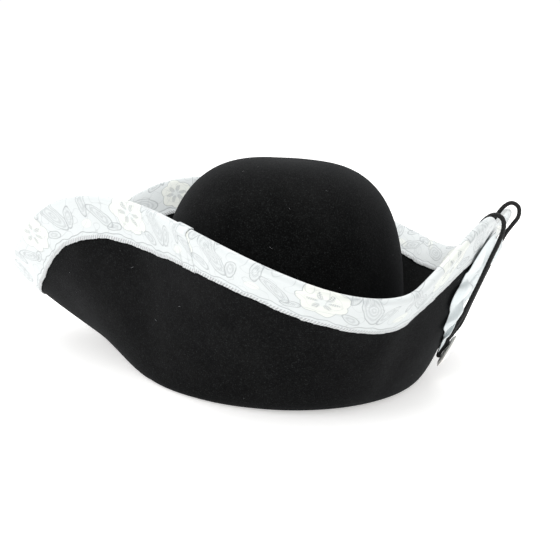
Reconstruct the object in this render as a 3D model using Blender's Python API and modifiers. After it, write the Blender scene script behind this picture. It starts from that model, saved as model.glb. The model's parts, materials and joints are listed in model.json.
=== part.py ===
"""Three-cornered felt hat with a brocade-bound brim, a satin cockade and a corded button loop.

The front of the hat points along -Y and its cockade side along +X. All lengths are in metres.
"""

import math

import bmesh
import bpy
import numpy as np
from mathutils import Matrix, Vector

COLLECTION = "cocked_hat"

# Place of the head's axis in the part's frame
HEAD_X = 0.0237
HEAD_Y = -0.0055

# Felt
FELT_THICK = 0.003
CROWN_HALF_WIDTH = 0.0845
CROWN_HALF_LENGTH = 0.0965
CROWN_HEIGHT = 0.141
CROWN_SQUARENESS = 3.2
BREAK_RADIUS = 0.005
RING_WIDTH = 0.007
RING_Z = FELT_THICK / 2
BREAK_BENDS = (math.radians(225), math.radians(270))
BRIM_SHARES = (1.0, 0.86, 0.7, 0.52, 0.35)
TRIM_SHARES = (1.0, 0.5, 0.0)

# Turned-up brim: half of the way round, from the cockade side (0 degrees) to the long corner (180)
STATION_DEG = (0, 25, 48, 70, 95, 120, 145, 163, 180)
EDGE_RADIUS = (0.142, 0.156, 0.165, 0.182, 0.159, 0.129, 0.157, 0.182, 0.196)
EDGE_HEIGHT = (0.107, 0.115, 0.079, 0.082, 0.106, 0.113, 0.107, 0.071, 0.047)
FULLNESS = (0.60, 0.78, 0.65, 0.56, 0.48, 0.40, 0.64, 0.73, 1.0)
ROOT_PULL = 0.32
EDGE_PULL = 0.77
SKEW_OUT = 0.016
SKEW_UP = -0.008

# Brocade binding folded over the brim's edge
TRIM_WIDTH = 0.026
TRIM_THICK = 0.0007
TRIM_GAP = 0.0008

# Grosgrain sweatband
BAND_BOTTOM = 0.0068
BAND_TOP = 0.036
BAND_THICK = 0.0008
BAND_GAP = 0.0005

# Satin cockade, laid over the panel: places on it are measured across and from the brim's edge
COCKADE_FROM_EDGE = 0.043
COCKADE_RADIUS = 0.040
COCKADE_EYE = 0.004
PANEL_RADIUS = 0.136
RUFFLE_THICK = 0.0014
RUFFLE_RINGS = ((COCKADE_EYE, 0.0048), (0.014, 0.0050), (0.022, 0.0065), (0.031, 0.0065), (COCKADE_RADIUS, 0.0062))
RUFFLE_DIP = 0.0037
DIP_HALF_ANGLE = math.radians(50)
DIP_FADE_ANGLE = math.radians(25)
DIP_START_RADIUS = 0.018
RUFFLE_STEPS = 36
BACKING_RADIUS = 0.012
BACKING_THICK = 0.0012
BACKING_GAP = 0.0010

# Button on its thread
BUTTON_CENTRE = (0.1184, 0.0, 0.0213)
BUTTON_LEAN = math.radians(26.0)
BUTTON_RADIUS = 0.012
BUTTON_CAP_WALL = 0.0006
BUTTON_DOME = ((0.0, 0.0022), (0.0045, 0.0019), (0.0085, 0.0011))
BUTTON_SHOULDER = (0.0112, 0.0)
BUTTON_RIM_Z = -0.0008
BUTTON_HEM = (0.0117, -0.0012)
BACK_RADIUS = 0.0108
BACK_THICK = 0.0007
SHANK_RING = 0.0016
SHANK_WIRE = 0.0005
THREAD_WIRE = 0.0004
THREAD_HALF_SPAN = 0.0015
THREAD_LENGTH = 0.0018
THREAD_ARCH = ((1.0, -0.0008), (0.667, -0.0001))
THREAD_CREST = 0.0001

# Loop cord
CORD_RADIUS = 0.0015
HOLE_RADIUS = 0.0022
KNOT_RADIUS = 0.0032
KNOT_HALF_DEPTH = 0.0018
NEAR_HOLE = (-14.0, 0.046)
FAR_HOLE = (15.0, 0.044)
TOUCH_GAP = 0.0003
CORD_POINTS = 76

# The cord's middle, from the near hole over the edge, round the button's shank and back to the far
# hole, measured from the head's axis
CORD_ROUTE = (
    (0.1264, -0.0313, 0.0725), (0.1236, -0.0311, 0.0733), (0.1185, -0.0309, 0.0770),
    (0.1180, -0.0311, 0.0824), (0.1236, -0.0320, 0.0970), (0.1298, -0.0322, 0.1090),
    (0.1343, -0.0319, 0.1162), (0.1396, -0.0316, 0.1198), (0.1446, -0.0312, 0.1180),
    (0.1462, -0.0304, 0.1125), (0.1446, -0.0288, 0.1034), (0.1411, -0.0252, 0.0900),
    (0.1359, -0.0200, 0.0698), (0.1289, -0.0140, 0.0489), (0.1209, -0.0087, 0.0332),
    (0.1177, -0.0067, 0.0284), (0.1153, -0.0057, 0.0247), (0.1137, -0.0052, 0.0215),
    (0.1129, -0.0036, 0.0188), (0.1126, 0.0000, 0.0177), (0.1129, 0.0036, 0.0188),
    (0.1137, 0.0052, 0.0215), (0.1153, 0.0057, 0.0247), (0.1177, 0.0067, 0.0284),
    (0.1211, 0.0089, 0.0332), (0.1252, 0.0121, 0.0400), (0.1304, 0.0165, 0.0495),
    (0.1400, 0.0258, 0.0700), (0.1484, 0.0350, 0.0890), (0.1546, 0.0432, 0.1040),
    (0.1566, 0.0460, 0.1130), (0.1551, 0.0466, 0.1188), (0.1502, 0.0468, 0.1212),
    (0.1450, 0.0466, 0.1180), (0.1392, 0.0450, 0.1090), (0.1328, 0.0422, 0.0970),
    (0.1246, 0.0374, 0.0825), (0.1246, 0.0357, 0.0771), (0.1294, 0.0351, 0.0731),
    (0.1321, 0.0350, 0.0722),
)

ROUND_STEPS = 60
CROWN_STEPS = 8
MERIDIAN_SAMPLES = 48
SLOPE_TURN = 0.01
SLOPE_STEP = 0.0015
SHARP_ANGLE = math.radians(50)
DISC_STEPS = 32
HOLE_STEPS = 16
ROUTE_STEPS = 12


def smooth_curve(knots, values, where):
    """Height of the clamped cubic spline through the knots, level at both ends."""
    x = np.radians(np.asarray(knots, float))
    y = np.asarray(values, float)
    gap = np.diff(x)
    rows = np.eye(len(x))
    right = np.zeros(len(x))
    for i in range(1, len(x) - 1):
        rows[i, i - 1] = 1 / gap[i - 1]
        rows[i, i] = 2 / gap[i - 1] + 2 / gap[i]
        rows[i, i + 1] = 1 / gap[i]
        right[i] = 3 * ((y[i] - y[i - 1]) / gap[i - 1] ** 2 + (y[i + 1] - y[i]) / gap[i] ** 2)
    slope = np.linalg.solve(rows, right)
    i = min(max(int(np.searchsorted(x, where)) - 1, 0), len(gap) - 1)
    t = (where - x[i]) / gap[i]
    rise = y[i + 1] - y[i]
    a = slope[i] * gap[i] - rise
    b = rise - slope[i + 1] * gap[i]
    return (1 - t) * y[i] + t * y[i + 1] + t * (1 - t) * ((1 - t) * a + t * b)


def crown_base_radius(angle):
    """Radius of the crown's oval at an angle round the head, to the middle of the felt."""
    across = math.cos(angle) / CROWN_HALF_WIDTH
    along = math.sin(angle) / CROWN_HALF_LENGTH
    return 1 / math.hypot(across, along)


def crown_profile(height):
    """Share of the base radius left at a height on the crown."""
    return (1 - (height / CROWN_HEIGHT) ** CROWN_SQUARENESS) ** (1 / CROWN_SQUARENESS)


def brim_meridian(angle):
    """Radius and height along the turned-up brim, from the flat ring to the edge."""
    turn = abs(angle)
    lean = math.sin(angle) * math.cos(angle / 2) ** 4
    edge_r = smooth_curve(STATION_DEG, EDGE_RADIUS, turn) + SKEW_OUT * lean
    edge_z = smooth_curve(STATION_DEG, EDGE_HEIGHT, turn) + SKEW_UP * lean
    full = smooth_curve(STATION_DEG, FULLNESS, turn)
    root_r = crown_base_radius(angle) + BREAK_RADIUS + RING_WIDTH
    reach = edge_r - root_r
    t = np.linspace(0, 1, MERIDIAN_SAMPLES)
    weights = ((1 - t) ** 3, 3 * t * (1 - t) ** 2, 3 * t * t * (1 - t), t ** 3)
    radii = (root_r, root_r + ROOT_PULL * reach, root_r + full * reach, edge_r)
    heights = (RING_Z, RING_Z, RING_Z + EDGE_PULL * (edge_z - RING_Z), edge_z)
    radius = sum(w * r for w, r in zip(weights, radii))
    height = sum(w * h for w, h in zip(weights, heights))
    return radius, height


def polar(angle, radius, height):
    """Point at an angle and distance from the head's axis."""
    return Vector((HEAD_X + radius * math.cos(angle), HEAD_Y + radius * math.sin(angle), height))


def brim_point(angle, from_edge):
    """Point on the middle of the felt, measured back from the brim's edge."""
    radius, height = brim_meridian(angle)
    steps = np.hypot(np.diff(radius), np.diff(height))
    walked = np.concatenate([[0.0], np.cumsum(steps)])
    at = walked[-1] - from_edge
    return polar(angle, float(np.interp(at, walked, radius)), float(np.interp(at, walked, height)))


def brim_width(angle):
    """Length of the turned-up brim from the flat ring to the edge."""
    radius, height = brim_meridian(angle)
    return float(np.hypot(np.diff(radius), np.diff(height)).sum())


def brim_frame(angle, from_edge):
    """Place on the brim with Z out of its outer face and Y towards the edge."""
    up = brim_point(angle, from_edge - SLOPE_STEP) - brim_point(angle, from_edge + SLOPE_STEP)
    side = brim_point(angle + SLOPE_TURN, from_edge) - brim_point(angle - SLOPE_TURN, from_edge)
    out = side.cross(up).normalized()
    up.normalize()
    place = Matrix((up.cross(out), up, out)).transposed().to_4x4()
    place.translation = brim_point(angle, from_edge)
    return place


def leaning_frame(centre, lean):
    """Place beside the cockade panel with Z outwards, leaning out at the top by the angle given."""
    out = Vector((math.cos(lean), 0, -math.sin(lean)))
    side = Vector((0, 0, 1)).cross(out).normalized()
    place = Matrix((side, out.cross(side), out)).transposed().to_4x4()
    place.translation = Vector(centre) + Vector((HEAD_X, HEAD_Y, 0))
    return place


def clear_scene():
    """Remove every object that the file starts with."""
    for thing in list(bpy.data.objects):
        bpy.data.objects.remove(thing, do_unlink=True)


def make_collection(name):
    """Collection linked to the scene."""
    group = bpy.data.collections.new(name)
    bpy.context.scene.collection.children.link(group)
    return group


def make_material(name, colour, roughness, metallic=0.0):
    """Principled material with a colour, roughness and metallic value."""
    material = bpy.data.materials.new(name)
    material.use_nodes = True
    shader = material.node_tree.nodes["Principled BSDF"]
    shader.inputs["Base Color"].default_value = (*colour, 1.0)
    shader.inputs["Roughness"].default_value = roughness
    shader.inputs["Metallic"].default_value = metallic
    return material


def add_object(name, data, group, material=None):
    """Object in a collection, with its material."""
    thing = bpy.data.objects.new(name, data)
    group.objects.link(thing)
    if material:
        data.materials.append(material)
    return thing


def mesh_from(name, points, faces, smooth=True):
    """Mesh from points and faces, its faces turned to agree with each other."""
    mesh = bpy.data.meshes.new(name)
    mesh.from_pydata([tuple(p) for p in points], [], faces)
    shell = bmesh.new()
    shell.from_mesh(mesh)
    bmesh.ops.recalc_face_normals(shell, faces=shell.faces)
    shell.to_mesh(mesh)
    shell.free()
    if smooth:
        mesh.shade_smooth()
        mesh.set_sharp_from_angle(angle=SHARP_ANGLE)
    return mesh


def ring_faces(rings, count, first=0):
    """Quads between neighbouring closed rings of points."""
    faces = []
    for ring in range(rings - 1):
        for i in range(count):
            j = (i + 1) % count
            a = first + ring * count
            b = a + count
            faces.append((a + i, a + j, b + j, b + i))
    return faces


def add_solidify(thing, thickness):
    """Even wall laid equally on both sides of an open sheet."""
    wall = thing.modifiers.new("wall", "SOLIDIFY")
    wall.thickness = thickness
    wall.offset = 0.0
    wall.use_even_offset = True


def felt_rows(angle):
    """Points down one meridian of the felt, from below the crown's pole to the brim's edge."""
    base = crown_base_radius(angle)
    rows = []
    wall_foot = math.atan2(RING_Z + BREAK_RADIUS, CROWN_HEIGHT)
    for step in range(1, CROWN_STEPS + 1):
        slant = math.pi / 2 + (wall_foot - math.pi / 2) * step / CROWN_STEPS
        reach = (math.cos(slant) ** CROWN_SQUARENESS + math.sin(slant) ** CROWN_SQUARENESS) ** (
            -1 / CROWN_SQUARENESS)
        rows.append(polar(angle, base * reach * math.cos(slant), CROWN_HEIGHT * reach * math.sin(slant)))
    for bend in BREAK_BENDS:
        rows.append(polar(angle, base + BREAK_RADIUS * (1 + math.cos(bend)),
                          RING_Z + BREAK_RADIUS * (1 + math.sin(bend))))
    width = brim_width(angle)
    for share in BRIM_SHARES:
        rows.append(brim_point(angle, TRIM_WIDTH + share * (width - TRIM_WIDTH)))
    for share in TRIM_SHARES:
        rows.append(brim_point(angle, share * TRIM_WIDTH))
    return rows


def build_felt_body(group, cutters, material):
    """Crown and brim blocked from one piece of felt, with a hole for each end of the cord."""
    columns = [felt_rows(2 * math.pi * i / ROUND_STEPS - math.pi) for i in range(ROUND_STEPS)]
    points = [Vector((HEAD_X, HEAD_Y, CROWN_HEIGHT))]
    for row in range(len(columns[0])):
        points.extend(column[row] for column in columns)
    faces = [(0, 1 + i, 1 + (i + 1) % ROUND_STEPS) for i in range(ROUND_STEPS)]
    faces.extend(ring_faces(len(columns[0]), ROUND_STEPS, first=1))
    body = add_object("felt_body", mesh_from("felt_body", points, faces), group, material)
    add_solidify(body, FELT_THICK)
    for name, (degrees, from_edge) in (("near_hole", NEAR_HOLE), ("far_hole", FAR_HOLE)):
        drill = bmesh.new()
        bmesh.ops.create_cone(drill, cap_ends=True, segments=HOLE_STEPS, radius1=HOLE_RADIUS, radius2=HOLE_RADIUS,
                              depth=4 * FELT_THICK)
        mesh = bpy.data.meshes.new(name)
        drill.to_mesh(mesh)
        drill.free()
        cutter = add_object(name, mesh, cutters)
        cutter.matrix_world = brim_frame(math.radians(degrees), from_edge)
        cutter.hide_render = True
        cutter.display_type = "WIRE"
        cut = body.modifiers.new(name, "BOOLEAN")
        cut.operation = "DIFFERENCE"
        cut.solver = "EXACT"
        cut.object = cutter


def build_brim_trim(group, material):
    """Ribbon folded over the brim's edge, all the way round."""
    stand_off = FELT_THICK / 2 + TRIM_GAP + TRIM_THICK / 2
    section = [(share * TRIM_WIDTH, -stand_off) for share in TRIM_SHARES[:-1]]
    for bend in (-90, -45, 0, 45, 90):
        turn = math.radians(bend)
        section.append((-stand_off * math.cos(turn), stand_off * math.sin(turn)))
    section.extend((from_edge, -out) for from_edge, out in reversed(section[:2]))
    points = []
    for i in range(ROUND_STEPS):
        angle = 2 * math.pi * i / ROUND_STEPS - math.pi
        edge = brim_frame(angle, SLOPE_STEP)
        for from_edge, out in section:
            if from_edge <= 0:
                start = brim_point(angle, 0.0)
                points.append(start + edge.col[1].xyz * -from_edge + edge.col[2].xyz * out)
            else:
                place = brim_frame(angle, from_edge)
                points.append(place @ Vector((0, 0, out)))
    count = len(section)
    faces = []
    for i in range(ROUND_STEPS):
        j = (i + 1) % ROUND_STEPS
        for k in range(count - 1):
            faces.append((i * count + k, i * count + k + 1, j * count + k + 1, j * count + k))
    trim = add_object("brim_trim", mesh_from("brim_trim", points, faces), group, material)
    add_solidify(trim, TRIM_THICK)


def build_sweatband(group, material):
    """Grosgrain band inside the crown."""
    inset = FELT_THICK / 2 + BAND_GAP + BAND_THICK / 2
    points = []
    heights = [BAND_BOTTOM + (BAND_TOP - BAND_BOTTOM) * step / 2 for step in range(3)]
    for height in heights:
        for i in range(ROUND_STEPS):
            angle = 2 * math.pi * i / ROUND_STEPS - math.pi
            radius = crown_base_radius(angle) * crown_profile(height) - inset
            points.append(polar(angle, radius, height))
    mesh = mesh_from("sweatband", points, ring_faces(len(heights), ROUND_STEPS))
    band = add_object("sweatband", mesh, group, material)
    add_solidify(band, BAND_THICK)


def turned_mesh(name, profile, steps):
    """Solid turned about local Z from (radius, height) pairs that start and end on the axis."""
    rings = profile[1:-1]
    points = []
    for radius, height in rings:
        for i in range(steps):
            turn = 2 * math.pi * i / steps
            points.append((radius * math.cos(turn), radius * math.sin(turn), height))
    points.append((0, 0, profile[0][1]))
    points.append((0, 0, profile[-1][1]))
    first_pole = len(rings) * steps
    last_ring = first_pole - steps
    faces = ring_faces(len(rings), steps)
    for i in range(steps):
        j = (i + 1) % steps
        faces.append((first_pole, j, i))
        faces.append((first_pole + 1, last_ring + i, last_ring + j))
    return mesh_from(name, points, faces)


def cockade_point(radius, turn, height):
    """Point over the panel, in rings round the cockade's centre, at a height above mid-felt."""
    across = radius * math.cos(turn)
    from_bottom = abs(math.remainder(turn + math.pi / 2, 2 * math.pi))
    beside = min(max((DIP_HALF_ANGLE - from_bottom) / DIP_FADE_ANGLE, 0), 1)
    outward = min(max((radius - DIP_START_RADIUS) / DIP_START_RADIUS, 0), 1)
    near_button = beside * outward
    place = brim_frame(across / PANEL_RADIUS, COCKADE_FROM_EDGE - radius * math.sin(turn))
    return place @ Vector((0, 0, height - RUFFLE_DIP * near_button))


def build_cockade(group, satin, buckram):
    """Gathered satin ruffle on a stiff backing disc sewn to the felt."""
    points = []
    for radius, height in RUFFLE_RINGS:
        for i in range(RUFFLE_STEPS):
            points.append(cockade_point(radius, 2 * math.pi * i / RUFFLE_STEPS, height))
    mesh = mesh_from("cockade_ruffle", points, ring_faces(len(RUFFLE_RINGS), RUFFLE_STEPS))
    ruffle = add_object("cockade_ruffle", mesh, group, satin)
    add_solidify(ruffle, RUFFLE_THICK)
    low = FELT_THICK / 2 + BACKING_GAP
    disc = ((0, low), (BACKING_RADIUS, low), (BACKING_RADIUS, low + BACKING_THICK), (0, low + BACKING_THICK))
    backing = add_object("cockade_backing", turned_mesh("cockade_backing", disc, DISC_STEPS), group, buckram)
    backing.matrix_world = brim_frame(0.0, COCKADE_FROM_EDGE)


def build_button(group, metal, thread_material):
    """Domed button with a wire shank, hanging on a loop of thread."""
    place = leaning_frame(BUTTON_CENTRE, BUTTON_LEAN)
    inside = [(radius, height - BUTTON_CAP_WALL) for radius, height in reversed(BUTTON_DOME)]
    cap = [*BUTTON_DOME, BUTTON_SHOULDER, (BUTTON_RADIUS, BUTTON_RIM_Z), BUTTON_HEM,
           (BUTTON_SHOULDER[0], BUTTON_RIM_Z), *inside]
    back_top = BUTTON_RIM_Z - TOUCH_GAP / 2
    back = ((0, back_top), (BACK_RADIUS, back_top), (BACK_RADIUS, back_top - BACK_THICK),
            (0, back_top - BACK_THICK))
    for name, profile in (("button_cap", cap), ("button_back", back)):
        piece = add_object(name, turned_mesh(name, profile, DISC_STEPS), group, metal)
        piece.matrix_world = place
    ring_centre = back_top - BACK_THICK - TOUCH_GAP - SHANK_RING - SHANK_WIRE
    bpy.ops.mesh.primitive_torus_add(major_radius=SHANK_RING, minor_radius=SHANK_WIRE, major_segments=24,
                                     minor_segments=8, rotation=(0, math.pi / 2, 0))
    shank = bpy.context.object
    shank.name = "button_shank"
    for home in list(shank.users_collection):
        home.objects.unlink(shank)
    group.objects.link(shank)
    shank.data.transform(Matrix.Rotation(math.pi / 2, 4, "Y"))
    shank.data.materials.append(metal)
    shank.data.shade_smooth()
    shank.matrix_world = place @ Matrix.Translation((0, 0, ring_centre))
    build_thread(group, place, ring_centre, thread_material)


def build_thread(group, place, eye_height, material):
    """Loop of thread through the shank's ring, its two ends at the felt."""
    legs = [(1.0, -THREAD_LENGTH), *THREAD_ARCH]
    points = [Vector((-THREAD_HALF_SPAN * share, 0, eye_height + rise)) for share, rise in legs]
    points.append(Vector((0, 0, eye_height + THREAD_CREST)))
    points.extend(Vector((-point.x, 0, point.z)) for point in reversed(points[:-1]))
    add_tube("button_thread", points, THREAD_WIRE, 2, group, material).matrix_world = place


def add_tube(name, points, radius, resolution, group, material):
    """Tube along points, with flat ends."""
    line = bpy.data.curves.new(name, "CURVE")
    line.dimensions = "3D"
    line.bevel_depth = radius
    line.bevel_resolution = resolution
    line.use_fill_caps = True
    run = line.splines.new("POLY")
    run.points.add(len(points) - 1)
    for slot, point in zip(run.points, points):
        slot.co = (*point, 1.0)
    return add_object(name, line, group, material)


def smooth_route(route, count):
    """Points at even steps along a smooth curve through the route's own points."""
    fine = []
    ends = [2 * route[0] - route[1]] + list(route) + [2 * route[-1] - route[-2]]
    for a, b, c, d in zip(ends, ends[1:], ends[2:], ends[3:]):
        for step in range(ROUTE_STEPS):
            t = step / ROUTE_STEPS
            fine.append(0.5 * (2 * b + (c - a) * t + (2 * a - 5 * b + 4 * c - d) * t * t
                               + (3 * b - a - 3 * c + d) * t ** 3))
    fine.append(route[-1])
    walked = np.concatenate([[0.0], np.cumsum([(q - p).length for p, q in zip(fine, fine[1:])])])
    stops = np.linspace(0, walked[-1], count)
    axes = [np.interp(stops, walked, [p[axis] for p in fine]) for axis in range(3)]
    return [Vector(point) for point in zip(*axes)]


def build_cord(group, material):
    """Loop cord in one length, with a knot behind the cockade at each end."""
    route = [Vector((x + HEAD_X, y + HEAD_Y, z)) for x, y, z in CORD_ROUTE]
    add_tube("loop_cord", smooth_route(route, CORD_POINTS), CORD_RADIUS, 2, group, material)
    for name, (degrees, from_edge) in (("cord_knot_near", NEAR_HOLE), ("cord_knot_far", FAR_HOLE)):
        ball = bmesh.new()
        bmesh.ops.create_uvsphere(ball, u_segments=16, v_segments=10, radius=KNOT_RADIUS)
        mesh = bpy.data.meshes.new(name)
        ball.to_mesh(mesh)
        ball.free()
        mesh.transform(Matrix.Diagonal((1, 1, KNOT_HALF_DEPTH / KNOT_RADIUS, 1)))
        mesh.shade_smooth()
        knot = add_object(name, mesh, group, material)
        lift = FELT_THICK / 2 + TOUCH_GAP + KNOT_HALF_DEPTH
        knot.matrix_world = brim_frame(math.radians(degrees), from_edge) @ Matrix.Translation((0, 0, lift))


def main():
    """Build every piece of the hat."""
    clear_scene()
    pieces = make_collection(COLLECTION)
    cutters = make_collection("cutters")
    felt = make_material("black_felt", (0.012, 0.012, 0.013), 0.95)
    brocade = make_material("silver_brocade", (0.80, 0.81, 0.84), 0.55)
    ribbon = make_material("black_ribbon", (0.02, 0.02, 0.022), 0.7)
    satin = make_material("white_satin", (0.86, 0.87, 0.88), 0.35)
    buckram = make_material("white_buckram", (0.75, 0.75, 0.73), 0.9)
    metal = make_material("silver_metal", (0.74, 0.72, 0.68), 0.3, 1.0)
    thread = make_material("black_thread", (0.02, 0.02, 0.02), 0.8)
    cord = make_material("black_cord", (0.015, 0.015, 0.016), 0.75)
    build_felt_body(pieces, cutters, felt)
    build_brim_trim(pieces, brocade)
    build_sweatband(pieces, ribbon)
    build_cockade(pieces, satin, buckram)
    build_button(pieces, metal, thread)
    build_cord(pieces, cord)


main()
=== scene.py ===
"""Looks of a black felt three-cornered hat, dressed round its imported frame.

The front of the hat points along -Y and its cockade side along +X. All lengths are in metres.
"""

import json
import logging
import math
import random
from collections.abc import Sequence
from dataclasses import dataclass, field
from enum import Enum

import bpy
import numpy as np
from mathutils import Matrix, Vector
from mathutils.kdtree import KDTree


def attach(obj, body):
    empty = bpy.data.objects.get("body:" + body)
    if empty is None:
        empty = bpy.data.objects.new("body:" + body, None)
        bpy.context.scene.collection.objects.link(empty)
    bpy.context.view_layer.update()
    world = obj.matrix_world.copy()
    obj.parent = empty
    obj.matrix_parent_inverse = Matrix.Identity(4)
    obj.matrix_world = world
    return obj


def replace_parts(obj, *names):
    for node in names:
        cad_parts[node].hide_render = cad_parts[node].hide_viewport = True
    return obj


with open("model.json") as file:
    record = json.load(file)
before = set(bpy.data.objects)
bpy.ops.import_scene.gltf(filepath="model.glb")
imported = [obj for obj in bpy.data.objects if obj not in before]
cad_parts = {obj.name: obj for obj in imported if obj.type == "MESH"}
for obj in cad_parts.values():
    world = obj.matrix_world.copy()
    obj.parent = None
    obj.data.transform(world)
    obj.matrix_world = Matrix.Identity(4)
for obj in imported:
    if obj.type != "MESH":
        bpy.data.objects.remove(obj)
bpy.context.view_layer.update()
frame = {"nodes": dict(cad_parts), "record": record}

log = logging.getLogger("cocked_hat")

MM = 0.001
FULL_TURN = 2 * math.pi

Pair = tuple[float, float]
Triple = tuple[float, float, float]
Faces = list[tuple[int, ...]]


class Body(str, Enum):
    """Bodies of the frame that a piece can ride on."""

    HAT = "hat"
    THREAD = "thread"
    BUTTON = "button"


class Slot(str, Enum):
    """The record's material slots."""

    FELT = "felt"
    BROCADE = "brocade"
    GROSGRAIN = "grosgrain"
    SATIN = "satin"
    BUCKRAM = "buckram"
    CORD = "cord"
    METAL = "metal"
    THREAD = "thread"


# ---------------------------------------------------------------- shape shared by felt and trimmings


def head_place() -> Vector:
    """Place of the head's axis on the table, as the record's head opening gives it."""
    for mount in frame["record"]["mounts"]:
        if mount["name"] == "head_opening":
            return Vector(mount["pos_m"])
    raise ValueError("the record has no head opening")


def smoothstep(low: float, high: float, value: np.ndarray) -> np.ndarray:
    """Share from 0 at low to 1 at high, eased at both ends."""
    t = np.clip((np.asarray(value, float) - low) / (high - low), 0, 1)
    return t * t * (3 - 2 * t)


def bump_at(value: np.ndarray, centre: float, spread: float) -> np.ndarray:
    """Bell of height 1 round a centre."""
    return np.exp(-(((np.asarray(value, float) - centre) / spread) ** 2))


def unit(vectors: np.ndarray) -> np.ndarray:
    """Vectors at length 1."""
    return vectors / np.maximum(np.linalg.norm(vectors, axis=-1, keepdims=True), 1e-12)


@dataclass
class BrimPlaces:
    """Places on the brim's middle surface with their own directions.

    Args:
        at: the points.
        side: directions round the head.
        up: directions towards the brim's edge.
        out: directions out of the brim's outer face.
    """

    at: np.ndarray
    side: np.ndarray
    up: np.ndarray
    out: np.ndarray


@dataclass
class HatShape:
    """Block that the felt is shaped on: an oval crown and a brim turned up on three sides."""

    head: Vector = field(default_factory=head_place)
    felt_thick: float = 0.003
    crown_half_width: float = 0.0845
    crown_half_length: float = 0.0965
    crown_height: float = 0.141
    crown_squareness: float = 3.2
    break_radius: float = 0.005
    ring_width: float = 0.007
    station_deg: tuple[float, ...] = (0, 25, 48, 70, 95, 120, 145, 163, 180)
    edge_radius: tuple[float, ...] = (0.142, 0.156, 0.165, 0.182, 0.159, 0.129, 0.157, 0.182, 0.196)
    edge_height: tuple[float, ...] = (0.107, 0.115, 0.079, 0.082, 0.106, 0.113, 0.107, 0.071, 0.047)
    fullness: tuple[float, ...] = (0.60, 0.78, 0.65, 0.56, 0.48, 0.40, 0.64, 0.73, 1.0)
    root_pull: float = 0.32
    edge_pull: float = 0.77
    skew_out: float = 0.016
    skew_up: float = -0.008
    meridian_samples: int = 48
    slope_turn: float = 0.01
    slope_step: float = 0.0015
    ridge_angle: float = math.radians(-50)
    ridge_rise: float = 0.0011
    wave_rise: float = 0.0006
    loop_dip: float = 0.0026
    loop_angle: float = math.radians(-13)
    loop_spread: float = math.radians(9)

    @property
    def ring_z(self) -> float:
        """Height of mid-felt in the flat ring round the head."""
        return self.felt_thick / 2

    def spline(self, values: Sequence[float], turn: np.ndarray) -> np.ndarray:
        """Clamped cubic spline through the stations, level at both ends.

        Args:
            values: the height at each station.
            turn: angles from the cockade side, 0 to pi.

        Returns:
            The spline's heights at those angles.
        """
        x = np.radians(np.asarray(self.station_deg, float))
        y = np.asarray(values, float)
        gap = np.diff(x)
        rows = np.eye(len(x))
        right = np.zeros(len(x))
        for i in range(1, len(x) - 1):
            rows[i, i - 1] = 1 / gap[i - 1]
            rows[i, i] = 2 / gap[i - 1] + 2 / gap[i]
            rows[i, i + 1] = 1 / gap[i]
            right[i] = 3 * ((y[i] - y[i - 1]) / gap[i - 1] ** 2 + (y[i + 1] - y[i]) / gap[i] ** 2)
        slope = np.linalg.solve(rows, right)
        i = np.clip(np.searchsorted(x, turn) - 1, 0, len(gap) - 1)
        t = (turn - x[i]) / gap[i]
        rise = y[i + 1] - y[i]
        a = slope[i] * gap[i] - rise
        b = rise - slope[i + 1] * gap[i]
        return (1 - t) * y[i] + t * y[i + 1] + t * (1 - t) * ((1 - t) * a + t * b)

    def crown_base(self, angle: np.ndarray) -> np.ndarray:
        """Radius of the crown's oval, to the middle of the felt."""
        return 1 / np.hypot(np.cos(angle) / self.crown_half_width, np.sin(angle) / self.crown_half_length)

    def crown_share(self, height: np.ndarray) -> np.ndarray:
        """Share of the base radius left at a height on the crown."""
        n = self.crown_squareness
        return (1 - (np.asarray(height, float) / self.crown_height) ** n) ** (1 / n)

    def meridian(self, angle: np.ndarray) -> tuple[np.ndarray, np.ndarray, np.ndarray]:
        """Radius, height and distance walked along the turned-up brim, one row for each angle."""
        angle = (np.asarray(angle, float) + math.pi) % FULL_TURN - math.pi
        turn = np.abs(angle)
        lean = np.sin(angle) * np.cos(angle / 2) ** 4
        edge_r = self.spline(self.edge_radius, turn) + self.skew_out * lean
        edge_z = self.spline(self.edge_height, turn) + self.skew_up * lean
        full = self.spline(self.fullness, turn)
        root_r = self.crown_base(angle) + self.break_radius + self.ring_width
        reach = edge_r - root_r
        flat = np.full_like(root_r, self.ring_z)
        t = np.linspace(0, 1, self.meridian_samples)
        weights = ((1 - t) ** 3, 3 * t * (1 - t) ** 2, 3 * t * t * (1 - t), t**3)
        radii = (root_r, root_r + self.root_pull * reach, root_r + full * reach, edge_r)
        heights = (flat, flat, flat + self.edge_pull * (edge_z - flat), edge_z)
        radius = sum(w * r[:, None] for w, r in zip(weights, radii))
        height = sum(w * h[:, None] for w, h in zip(weights, heights))
        steps = np.hypot(np.diff(radius), np.diff(height))
        walked = np.concatenate([np.zeros((len(radius), 1)), np.cumsum(steps, 1)], 1)
        return radius, height, walked

    def polar(self, angle: np.ndarray, radius: np.ndarray, height: np.ndarray) -> np.ndarray:
        """Points at angles and distances from the head's axis."""
        x = self.head.x + radius * np.cos(angle)
        y = self.head.y + radius * np.sin(angle)
        return np.stack([x, y, height + 0 * radius], -1)

    def brim_width(self, angle: np.ndarray) -> np.ndarray:
        """Length of the turned-up brim from the flat ring to the edge."""
        return self.meridian(angle)[2][:, -1]

    def brim_point(self, angle: np.ndarray, from_edge: np.ndarray) -> np.ndarray:
        """Points on the middle of the felt, measured back from the brim's edge."""
        radius, height, walked = self.meridian(angle)
        cut = self.loop_dip * bump_at(np.asarray(angle, float), self.loop_angle, self.loop_spread)
        at = np.maximum(walked[:, -1] - cut - from_edge, 0)
        row = np.arange(len(at))
        i = np.clip((walked < at[:, None]).sum(1) - 1, 0, walked.shape[1] - 2)
        t = (at - walked[row, i]) / (walked[row, i + 1] - walked[row, i])
        r = radius[row, i] + t * (radius[row, i + 1] - radius[row, i])
        z = height[row, i] + t * (height[row, i + 1] - height[row, i])
        return self.polar(np.asarray(angle, float), r, z)

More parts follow.
